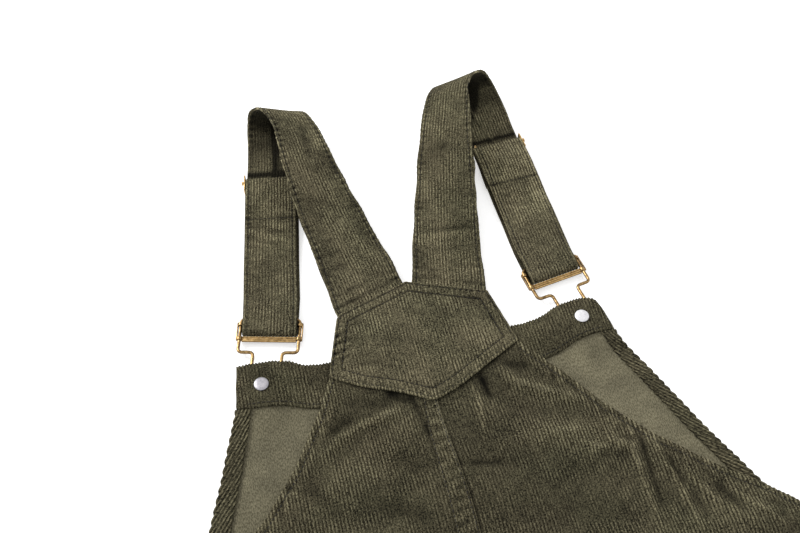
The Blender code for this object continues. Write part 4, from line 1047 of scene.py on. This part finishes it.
# Soft creases of the straps between the yoke and the loops
strapCreases = {
    "left": table(
        "x0 y0 x1 y1 height half",
        (-49, 128, -38, 132, -0.7, 1.8), (-48, 118, -34, 121, -0.8, 2), (-52, 139, -42, 141, -0.4, 1.8),
        (-33, 150, -14, 117, 0.5, 3.4), (-48, 240, -48, 212, -0.8, 3.4), (-40, 236, -38, 214, 0.5, 3),
        (-23, 172, -21, 144, -0.5, 4), (-38, 188, -34, 166, 0.4, 3), (-32, 205, -29, 190, -0.4, 3)),
    "right": table(
        "x0 y0 x1 y1 height half",
        (25, 135, 60, 130, -0.9, 2), (24, 130, 58, 125, 0.6, 2), (32, 117, 60, 113, -0.5, 2.4),
        (37, 104, 58, 97, -0.6, 2), (42, 97, 60, 92, 0.5, 2), (52, 160, 62, 158, -0.5, 2),
        (60, 172, 68, 168, -0.4, 2), (34, 178, 36, 150, 0.4, 3.5), (52, 196, 60, 200, -0.5, 2.4)),
}


def endBend(along):
    u = along / strap["reach"]
    return along if u < 0 else along * (1 - u) ** 2 * (u < 1)


def frontLine(side, along):
    lean = math.radians(buckleLean[side])
    fold = np.array(buttons[side]) + np.array([buckle["play"], 0.0])
    fold = fold + buckle["fold"] * np.array([math.sin(lean), math.cos(lean)])
    endX, endY, endLean = strapSide[side]["slider"]
    chord = np.array([endX, endY]) - fold
    length = float(np.hypot(*chord))
    chord /= length
    straight = math.atan2(chord[0], chord[1])
    low, high = lean - straight, math.radians(endLean) - straight
    drift = math.tan(low) * endBend(along) - math.tan(high) * endBend(length - along)
    spot = fold + along * chord + drift * np.array([chord[1], -chord[0]])
    turn = straight + low * (1 - ease(along / strap["reach"]))
    turn = turn + high * (1 - ease((length - along) / strap["reach"]))
    return spot, -math.degrees(turn), length


def frontHeights(length):
    wall, gap = clothSize["strapWall"], clothSize["gap"]
    main = wall / 2
    bend = buckle["z"] - wall / 2
    rodBend = slider["rod"] + gap + wall / 2
    mainAtSlider = slider["thick"] + gap + wall / 2
    tailAtSlider = mainAtSlider + wall + gap
    return {
        "bend": bend,
        "rodBend": rodBend,
        "main": table("along z", (0.0, main), (length - 34, main), (length - 16, mainAtSlider),
                      (length, mainAtSlider)),
        "back": table("along z", (0.0, main + 2 * bend), (14.0, main + 2 * bend), (40.0, main + wall + 1.0),
                      (length - 58, main + wall + 1.0), (length - 40, main + 2 * wall + 2 * gap + 0.2),
                      (length - 16, tailAtSlider + 2 * rodBend - 0.4), (length, tailAtSlider + 2 * rodBend)),
        "tail": table("along z", (length - 40, main + wall + gap), (length - 30, main + wall + gap + 0.1),
                      (length - 16, tailAtSlider), (length, tailAtSlider)),
    }


def stepped(columns, along):
    keys = columns["along"]
    i = int(np.clip(np.searchsorted(keys, along) - 1, 0, len(keys) - 2))
    t = float(ease((along - keys[i]) / (keys[i + 1] - keys[i])))
    return float(columns["z"][i] + t * (columns["z"][i + 1] - columns["z"][i]))


def strapStations(side):
    # the strap's middle line as stations: up the back and round the loop, down the front to the fold on
    # the buckle, up again over the slider's rod, and down behind it as the tail
    names = "x y z turn tilt width".split()
    columns, local = upperStrap[side], strapSide[side]
    count = len(columns["x"])
    fine = np.linspace(0, count - 1, 2 * count - 1)
    columns = {**columns, "step": np.arange(count, dtype=float)}
    stations = np.stack([smoothAt(columns, "step", name, fine) for name in names], 1).tolist()
    loopEnd = len(stations)
    length = frontLine(side, 0.0)[2]
    heights = frontHeights(length)

    def add(along, z, slip=0.0):
        spot, turn, _ = frontLine(side, along)
        loose = float(ease(along / strap["free"]) * ease((length - along) / strap["free"]))
        width = strap["wide"] + local["relax"] * loose
        stations.append([spot[0] + slip * loose, spot[1], z, turn, 0.0, width])

    bend, rodBend = heights["bend"], heights["rodBend"]
    arc = np.linspace(0, math.pi, 7)[1:-1]
    for along in (*np.linspace(length - 1, length - 34, 5), *np.linspace(length - 50, bend, 7)):
        add(along, stepped(heights["main"], along), local["slip"][0])
    foldZ = clothSize["strapWall"] / 2 + bend
    for angle in arc:
        add(bend - bend * math.sin(angle), foldZ - bend * math.cos(angle))
    foldEnd = len(stations)
    stop = length - rodBend
    for along in (bend, 14, 22, 31, 40, *np.linspace(60, length - 58, 4),
                  length - 49, length - 40, length - 32, length - 24, length - 16, stop):
        add(along, stepped(heights["back"], along), local["slip"][1])
    rodStart = len(stations)
    rodZ = heights["tail"]["z"][-1] + rodBend
    for angle in arc:
        add(stop + rodBend * math.sin(angle), rodZ + rodBend * math.cos(angle))
    for along in (stop, *(length - reach for reach in (12, 16, 20, 25, 30, strap["tail"]))):
        add(along, stepped(heights["tail"], along))
    return np.array(stations), (loopEnd, foldEnd, rodStart)


def rodLevel():
    heights = frontHeights(140.0)
    return float(heights["tail"]["z"][-1] + heights["rodBend"])


def strapLine(side):
    # close steps along the stations
    stations, turns = strapStations(side)
    loopEnd, foldEnd, rodStart = turns
    gaps = np.linalg.norm(np.diff(stations[:, :3], axis=0), axis=1)
    along = np.concatenate([[0], np.cumsum(gaps)])
    slopes = np.gradient(stations, along, axis=0)
    steps = np.full(len(gaps), 4.0)
    steps[:loopEnd - 3] = 1.9
    steps[loopEnd - 3:loopEnd + 2] = 1.5
    steps[foldEnd:rodStart + 3] = 2.1
    marks = [np.linspace(a, b, max(1, math.ceil((b - a) / step)), endpoint=False)
             for a, b, step in zip(along, along[1:], steps)]
    marks = np.concatenate(marks + [along[-1:]])
    i = np.clip(np.searchsorted(along, marks, side="right") - 1, 0, len(along) - 2)
    span = (along[i + 1] - along[i])[:, None]
    t = (marks - along[i])[:, None] / span
    line = hermite(t, span, stations[i], stations[i + 1], slopes[i], slopes[i + 1])
    straight = marks > along[loopEnd - 3]
    line[straight] = (stations[i] * (1 - t) + stations[i + 1] * t)[straight]
    return marks, line, along, turns


def loopShade(side, across, s, toEdge, crown, foot):
    # painted shade: inside the loop little light reaches the cloth, and the turned rim is painted lit
    past = s - crown
    inner = 1.0 - 0.85 * ease((past + 90.0) / 60.0) + 0.30 * ease((past - 6.0) / 8.0)
    inner = inner + 0.42 * ease((past - 22.0) / 20.0)
    if side == "left":
        inner = inner - 0.40 * ease((across + 1.5) / 3.0) * ease(past / 6.0)
        inner = inner - 0.5 * bell(across - 2.5, 2.2) * ease((past - 8.0) / 8.0)
    else:
        shaded = ease((10.0 - 24.0 * ease(past / 60.0) - across) / 5.0)
        inner = inner + 0.35 * ease((past - 4.0) / 10.0) * (1 - shaded) - 0.42 * shaded * ease(past / 6.0)
        pleat = across + 15.0 - 0.22 * past
        inner = inner + (0.35 * bell(pleat, 1.2) - 0.5 * bell(pleat + 2.4, 1.3)) * ease(past / 9.0)
    inner = inner - 1.3 * bell(s - foot - 5.8 - 0.6 * waleWave(across), 2.3)
    rim = bell(toEdge, 1.7) * ease((past + 70.0) / 20.0) * ease((42.0 - past) / 14.0)
    return np.clip(inner, 0.10, 1.2) * (1 - rim) + 1.15 * rim


def makeStrap(side, sign):
    local = strapSide[side]
    marks, line, along, (loopEnd, foldEnd, rodStart) = strapLine(side)
    turn, tilt = np.radians(line[:, 3]), np.radians(line[:, 4])
    wide = stacked(np.cos(turn) * np.cos(tilt), np.sin(turn) * np.cos(tilt), np.sin(tilt))
    normal = np.cross(wide, np.gradient(line[:, :3], marks, axis=0))
    normal /= np.linalg.norm(normal, axis=1)[:, None]
    base = np.linspace(-1, 1, strap["columns"] + 1)
    share = 0.5 * np.sign(base) * (1 - (1 - abs(base)) ** 1.06)
    s = marks[:, None]
    toRod = s - along[rodStart]
    onUpper = s < along[loopEnd - 1]
    onReturn = (s > along[foldEnd - 1]) & (s < along[rodStart])
    calm = ease((along[loopEnd - 4] - s) / 30.0)
    edgeBunch = np.sin(2 * np.pi * s / 5.2 + 1.7 * ripple(s, 0, 61 + sign, 40.0))
    edgeBunch = edgeBunch * (0.6 + 0.5 * ripple(s, sign, 63, 33.0))
    width = line[:, 5:6] + 0.35 * edgeBunch * onUpper * calm
    stray = 0.55 * ripple(s, 0, 75 + sign, 24.0) * (share > 0)
    stray = stray + 0.55 * ripple(s, 0, 77 + sign, 27.0) * (share < 0)
    across = share * width + stray * onUpper * (2 * abs(share)) ** 6 * calm
    # the loop's open edge curls in over the top, and the right strap covers the slider's inner ear
    crown = along[2 * int(np.argmax(upperStrap[side]["y"]))]
    nearEdge = (2 * abs(share)) ** 3
    across = across - sign * 3.2 * nearEdge * (sign * share > 0) * bell(s - crown + 40.0, 19.0)
    if side == "right":
        across = across - 2.0 * nearEdge * (share < 0) * ease((toRod + 46.0) / 26.0)
    toEdge = (0.5 - abs(share)) * width
    ground = 1.0 * onUpper + 0.5 * onReturn
    pucker = edgeBunch * bell(toEdge - 3.0, 3.4)
    shift = 0.55 * ripple(s, across, 65 + sign, 52.0) + 0.22 * ripple(s, across, 67 + sign, 19.0)
    shift = shift * ground * ease((s - 8) / 20.0) * np.where(onUpper, 1.0, 0.35)
    for turned in (along[foldEnd] + 2.0, along[rodStart]):
        shift = shift * (1 - 0.8 * ease((12 - abs(s - turned)) / 6))
    bendShift = np.maximum(shift, -0.25)
    centre = line[:, None, :3] + across[..., None] * wide[:, None, :]
    centreX, centreY = centre[..., 0], centre[..., 1]
    creased = ridges(strapCreases[side], centreX, centreY) * onUpper
    # below the row of stitches that holds the tail, the front layer is crumpled
    crumple = ripple(0.3 * across, s, 81 + sign, 7.0) * bell(toRod + 52.0, 15.0)
    crumple = crumple * onReturn * ease(toEdge / 4.0)
    face = 0.5 * clothSize["strapWall"] - edgeRound(toEdge, 0.95) + 0.1
    upperFace = face + wale(across, 0.5) + seamLine(toEdge, strap["edgeSeam"], 0.35)
    upperFace = upperFace + seamLine(toRod, -strap["barSeam"], 0.5, 0.7) * onReturn
    upperFace = upperFace + 0.42 * pucker * ground + 0.5 * creased + 0.4 * crumple
    lowerFace = face + wale(across, 0.45)
    top = centre + normal[:, None, :] * (upperFace + bendShift)[..., None]
    bottom = centre - normal[:, None, :] * (lowerFace - bendShift)[..., None]
    for surface in (top, bottom):
        surface[..., 2] = np.maximum(surface[..., 2], 0.02)
    # where it enters the yoke a crease is painted as shade, not modelled, with a gathered row at the seam
    # painted as light and dark stripes
    fromYoke = polygonDistance(centreX, centreY, yokeOutline)[0]
    nearYoke = ease((60 - s) / 10.0)
    creaseShade = bell(fromYoke - 6.3, 1.7) + 0.5 * bell(fromYoke - 14.0, 2.4) - 0.35 * bell(fromYoke - 10.2, 2.0)
    creaseShade = creaseShade * ease((s - 2) / 4.0) * nearYoke * local["creaseShade"]
    creaseShade = creaseShade * (0.65 + 0.35 * ripple(across, 0, 79 + sign, 30.0))
    gatherShade = bell(fromYoke - 2.2, 1.6) * nearYoke
    # the front layer is painted lighter towards the slider, as light on it, and on the right as light that
    # lifts the loop's shadow; the main layer is darker along its open edge
    aboveBar = onReturn * ease((toRod + 38.0) / 5.0)
    paintedLight = 0.12 * aboveBar
    if side == "right":
        paintedLight = 0.42 * onReturn * ease((toRod + 95.0) / 40.0) + 0.38 * aboveBar
    openSide = ease((sign * share - 0.04) / 0.22) * bell(centreY - local["shadedY"], 36.0) * onUpper
    litMiddle = bell(centreY - 128.0, 20.0) * bell(across, 13.0) * onUpper
    # painted highlights and shade on puckers, creases and the crumpled front, and painted highlight along the
    # edges and where the cloth lifts; darker along the rows of stitches
    tone = 1.02 + 0.15 * ripple(s, across, 71 + sign, 46.0) + 0.11 * ripple(s, across, 73 + sign, 12.0)
    tone = tone * (1 + paintedLight) - 0.20 * openSide + 0.14 * litMiddle
    tone = tone - 0.38 * bell(toEdge - strap["edgeSeam"], 0.6) + local["pucker"] * pucker * ground
    tone = tone + 0.62 * creased + 0.42 * crumple - creaseShade
    tone = tone + gatherShade * (0.16 + 0.25 * np.sin(2 * np.pi * across / 3.4))
    tone = tone - 0.5 * bell(toRod + strap["barSeam"], 0.8) * onReturn
    tone = tone + 0.35 * bell(toEdge, 0.5) + 0.2 * np.clip(shift, -0.5, 0.8)
    inner = loopShade(side, across, s, toEdge, crown, along[loopEnd - 1])
    total = float(along[-1])
    laySheet("strap" + side.title(), top, bottom, stacked(across, s), tone, "strap",
             "strap_" + side,
             inner=inner)
    seams = []
    upTo, start, stop = np.searchsorted(marks, (along[loopEnd - 5], along[foldEnd] + 3, along[rodStart] - 1))
    for edge in (-1, 1):
        nearest = np.argmin(abs(across - edge * (0.5 * width - strap["edgeSeam"])), axis=1)
        path = top[np.arange(len(marks)), nearest] + normal * 0.05
        seams += [path[:upTo], path[start:stop]]
    barRow = int(np.argmin(abs(toRod + strap["barSeam"])))
    seams.append(top[barRow, 6:-6] + normal[barRow] * 0.1)
    sew("strapStitching" + side.title(), seams, 0.22)
    return total


print("strap lengths", {side: makeStrap(side, sign) for side, sign in sides.items()})


def planMatrix(x, y, turnDegrees):
    spot = toMetres([(x, y, 0.0)])[0]
    return Matrix.Translation(spot) @ Matrix.Rotation(math.radians(turnDegrees), 4, "Z")


def pickOnly(*pieces):
    for item in bpy.context.selected_objects:
        item.select_set(False)
    for item in pieces:
        item.select_set(True)
        bpy.context.view_layer.objects.active = pieces[0]


def finishPiece(piece, name, matrix, finish, nodes):
    # a piece is modelled in millimetres in its own plan, then set in the frame through its mesh
    piece.name = name
    piece.data.name = name
    piece.data.transform(matrix @ Matrix.Scale(unit, 4) @ piece.matrix_world)
    piece.matrix_world = Matrix()
    pickOnly(piece)
    bpy.ops.object.shade_smooth_by_angle(angle=math.radians(35))
    piece.data.materials.clear()
    piece.data.materials.append(finishes[finish])
    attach(piece, "root")
    if nodes:
        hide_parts(*nodes)
    piece.select_set(False)
    return piece


def joinPieces(parts):
    pickOnly(*parts)
    bpy.ops.object.transform_apply(location=True, rotation=True, scale=True)
    bpy.ops.object.join()
    return bpy.context.object


def addBox(low, high):
    pickOnly()
    size = [b - a for a, b in zip(low, high)]
    bpy.ops.mesh.primitive_cube_add(size=1.0, location=[(a + b) / 2 for a, b in zip(low, high)], scale=size)
    return bpy.context.object


def addRod(start, stop, radius, count=20):
    pickOnly()
    start, stop = Vector(start), Vector(stop)
    way = stop - start
    bpy.ops.mesh.primitive_cylinder_add(vertices=count, radius=radius, depth=way.length,
                                        location=(start + stop) / 2,
                                        rotation=way.to_track_quat("Z", "Y").to_euler())
    return bpy.context.object


def bevelPart(part, width, segments=2):
    edge = part.modifiers.new("Edges", "BEVEL")
    edge.width = width
    edge.segments = segments
    edge.limit_method = "ANGLE"
    bpy.context.view_layer.objects.active = part
    bpy.ops.object.modifier_apply(modifier="Edges")
    return part


def roundedPath(corners, radius, steps=5):
    path = [Vector(corners[0])]
    for before, corner, after in zip(corners, corners[1:], corners[2:]):
        corner = Vector(corner)
        backward, onward = Vector(before) - corner, Vector(after) - corner
        reach = min(radius, 0.45 * backward.length, 0.45 * onward.length)
        start, stop = corner + backward.normalized() * reach, corner + onward.normalized() * reach
        for k in range(steps + 1):
            t = k / steps
            path.append((1 - t) ** 2 * start + 2 * t * (1 - t) * corner + t * t * stop)
    path.append(Vector(corners[-1]))
    return path


def makeWire(side, matrix):
    hook = buckle["shank"] + buckle["play"] + clothSize["gap"] + buckle["wire"]
    wide, top, shoulder, neck, z = (buckle[key] for key in ("half", "top", "shoulder", "neck", "z"))
    half = [(0.0, top, z), (wide, top, z), (wide, shoulder, z), (neck, shoulder, z), (neck, 12.0, z),
            (hook + 0.5, 5.0, z)]
    path = roundedPath(half, buckle["bend"])
    path += [Vector((hook * math.cos(a), -hook * math.sin(a), z)) for a in np.linspace(0, 0.5 * math.pi, 8)]
    loop = path + [Vector((-p.x, p.y, p.z)) for p in path[1:-1]][::-1]
    curve = bpy.data.curves.new("buckleWire" + side.title(), "CURVE")
    curve.dimensions = "3D"
    curve.bevel_depth = buckle["wire"]
    curve.bevel_resolution = 4
    line = curve.splines.new("POLY")
    line.points.add(len(loop) - 1)
    for point, spot in zip(line.points, loop):
        point.co = (*spot, 1.0)
    line.use_cyclic_u = True
    piece = addObject(curve.name, curve)
    pickOnly(piece)
    bpy.ops.object.convert(target="MESH")
    piece = bpy.context.object
    bm = bmesh.new()
    bm.from_mesh(piece.data)
    bmesh.ops.remove_doubles(bm, verts=bm.verts, dist=0.001)
    bm.to_mesh(piece.data)
    bm.free()
    finishPiece(piece, "buckleWire" + side.title(), matrix, "brass", ["buckle_wire_" + side])


def makeBar(side, matrix):
    # the stamped bar: a crowned strip with its ribs, collars and rails
    z, level, wide = buckle["z"], buckle["bar"], buckle["half"]
    low, high = (level + reach for reach in buckle["barReach"])
    inner, outer = wide - 2.35, wide + buckle["wire"] + 1.3
    parts = [bevelPart(addBox((-inner - 0.5, low, z - 0.6), (inner + 0.5, high, z + 0.35)), 0.2)]
    # the ribs are paler brass: rubbed metal, and along each rib a painted highlight
    ribs = []
    for share in buckle["ribs"]:
        y = low + share * (high - low)
        ribs.append(addRod((-inner - 0.3, y, z + 0.35), (inner + 0.3, y, z + 0.35), 0.46, 12))
    for sign in (-1, 1):
        for along in (level, buckle["rail"] - 1.3):
            collar = addRod((sign * wide, along - 1.5, z), (sign * wide, along + 1.5, z), 2.0)
            parts.append(bevelPart(collar, 0.35))
        x0, x1 = sorted((sign * (outer - 0.95), sign * outer))
        rail = addBox((x0, level - 1.4, z - 0.95), (x1, buckle["rail"], z + 0.95))
        parts.append(bevelPart(rail, 0.3))
    finishPiece(joinPieces(parts), "buckleBar" + side.title(), matrix, "brass",
                ["buckle_bar_" + side])
    finishPiece(joinPieces(ribs), "buckleRibs" + side.title(), matrix, "rubbedAndHighlitBrass", [])


def makeSlider(side):
    length = frontLine(side, 0.0)[2]
    spot, turn, _ = frontLine(side, length - slider["rod"] - clothSize["gap"] - clothSize["strapWall"] / 2)
    matrix = planMatrix(spot[0], spot[1], turn)
    level = rodLevel()
    halfWide, halfTall = slider["wide"] / 2, slider["tall"] / 2
    # the right slider's inner end is pushed in under the edge of its strap
    ends = {-1: -halfWide + (slider["pushedIn"] if side == "right" else 0.0), 1: halfWide}
    parts = []
    for sign in (-1, 1):
        y0, y1 = sorted((sign * halfTall, sign * (halfTall - slider["bar"])))
        cross = addBox((ends[-1] + 0.3, y0, 0.02), (ends[1] - 0.3, y1, slider["thick"]))
        parts.append(bevelPart(cross, 0.25))
        x0, x1 = sorted((ends[sign], ends[sign] - sign * slider["ear"]))
        pushedIn = side == "right" and sign < 0
        ear = addBox((x0, -halfTall, 0.05), (x1, halfTall, level + (0.2 if pushedIn else 1.9)))
        parts.append(bevelPart(ear, 0.45, 3))
    finishPiece(joinPieces(parts), "sliderFrame" + side.title(), matrix, "rubbedAndHighlitBrass",
                ["slider_frame_" + side])
    rod = [addRod((ends[-1] - 0.4, 0, level), (ends[1] + 0.4, 0, level), slider["rod"])]
    for sign in (-1, 1):
        pickOnly()
        bpy.ops.mesh.primitive_uv_sphere_add(segments=24, ring_count=12, radius=1.0,
                                             location=(ends[sign] + sign, 0, level), scale=(0.75, 1.75, 1.75))
        rod.append(bpy.context.object)
    finishPiece(joinPieces(rod), "sliderRod" + side.title(), matrix, "rubbedAndHighlitBrass",
                ["slider_rod_" + side])


tackFoot = 5.8 + 2 * layer
# radius and height of each profile's points; the tack's heights are above the cloth it sits on
tack = [(0.01, -3.4), (1.0, -3.4), (1.0, 0), (4.7, 0), (5.0, 0.25), (5.0, 0.45), (4.75, 0.75), (4.2, 0.95),
        (3.0, 1.12), (1.6, 1.2), (0.01, 1.22)]
button = [(0.01, 0.02), (5.6, 0.02), (7.3, 0.2), (8.2, 0.8), (8.5, 1.5), (8.3, 2.2), (7.9, 2.6), (6.0, 2.4),
          (2.8, 2.5), (2.6, 4.0), (2.8, 5.5), (0.01, 5.5)]


def spin(profile, foot=0.0):
    pickOnly()
    bpy.ops.mesh.primitive_plane_add(size=1.0)
    piece = bpy.context.object
    bm = bmesh.new()
    verts = [bm.verts.new((radius, 0.0, foot + height)) for radius, height in profile]
    for a, b in zip(verts, verts[1:]):
        bm.edges.new((a, b))
    bm.to_mesh(piece.data)
    bm.free()
    bpy.ops.object.mode_set(mode="EDIT")
    bpy.ops.mesh.select_all(action="SELECT")
    bpy.ops.mesh.spin(steps=40, angle=2 * math.pi, center=(0, 0, 0), axis=(0, 0, 1))
    bpy.ops.mesh.select_all(action="SELECT")
    bpy.ops.mesh.remove_doubles(threshold=0.02)
    bpy.ops.mesh.normals_make_consistent(inside=False)
    bpy.ops.object.mode_set(mode="OBJECT")
    return piece


for side, (buttonX, buttonY) in buttons.items():
    end = side.title()
    matrix = planMatrix(buttonX + buckle["play"], buttonY, -buckleLean[side])
    makeWire(side, matrix)
    makeBar(side, matrix)
    makeSlider(side)
    # the tack's shallow dome, and the button under the bib
    matrix = planMatrix(buttonX, buttonY, 0.0)
    finishPiece(spin(tack, tackFoot), "tack" + end, matrix, "steel" + end, ["tack_" + side])
    finishPiece(spin(button), "bibButton" + end, matrix, "brass", ["bib_button_" + side])
print("hardware made")


studio = {
    "floor": (0.86, 0.86, 0.86),
    "world": 0.76,
    "glow": 0.50,  # light from the sheet itself, which keeps shadows on it faint
    "lamps": {"keyLight": ((-1.5, 1.3, 1.5), 0.8, 46.0), "fillLight": ((1.6, -1.0, 2.2), 2.4, 6.0)},
    "lampAim": (0.0, 0.55, 0.0),
    "elevation": 55.0,
    "azimuth": -13.2,
    "distance": 740.0,
    "aim": (1.386, 114.817, 0.0),
    "lens": 44.91,
}


def makeStudio():
    scene = bpy.context.scene
    pickOnly()
    bpy.ops.mesh.primitive_plane_add(size=14.0, location=(0, 0, -0.0002))
    floor = bpy.context.object
    floor.name = "floor"
    floor.data.materials.append(Graph("paleFloor").finish(
        {"Base Color": studio["floor"], "Roughness": 0.8, "Specular IOR Level": 0.2,
         "Emission Color": (1.0, 1.0, 1.0), "Emission Strength": studio["glow"]}))
    world = bpy.data.worlds.new("studio")
    world.use_nodes = True
    glow = world.node_tree.nodes["Background"].inputs
    glow[0].default_value = (1.0, 1.0, 1.0, 1.0)
    glow[1].default_value = studio["world"]
    scene.world = world
    # each lamp's place, size and power; both look at the middle of the straps and bib
    lampAim = Vector(studio["lampAim"])
    for name, (spot, size, power) in studio["lamps"].items():
        lamp = bpy.data.lights.new(name, "AREA")
        lamp.size = size
        lamp.energy = power
        holder = addObject(name, lamp)
        holder.location = Vector(spot) + lampAim
        holder.rotation_euler = (lampAim - holder.location).to_track_quat("-Z", "Y").to_euler()
    tilt, swing = math.radians(studio["elevation"]), math.radians(studio["azimuth"])
    away = Vector((math.sin(swing) * math.cos(tilt), -math.cos(swing) * math.cos(tilt), math.sin(tilt)))
    rightward = Vector((math.cos(swing), math.sin(swing), 0.0))
    upward = away.cross(rightward)
    camera = addObject("camera", bpy.data.cameras.new("camera"))
    spot = Vector(toMetres([studio["aim"]])[0]) + away * studio["distance"] * unit
    turn = Matrix((rightward, upward, away)).transposed().to_4x4()
    camera.matrix_world = Matrix.Translation(spot) @ turn
    camera.data.lens = studio["lens"]
    camera.data.sensor_width = 36.0
    camera.data.clip_start = 0.01
    camera.data.clip_end = 50.0
    scene.camera = camera
    scene.view_settings.view_transform = "Standard"


makeStudio()
print("studio set")
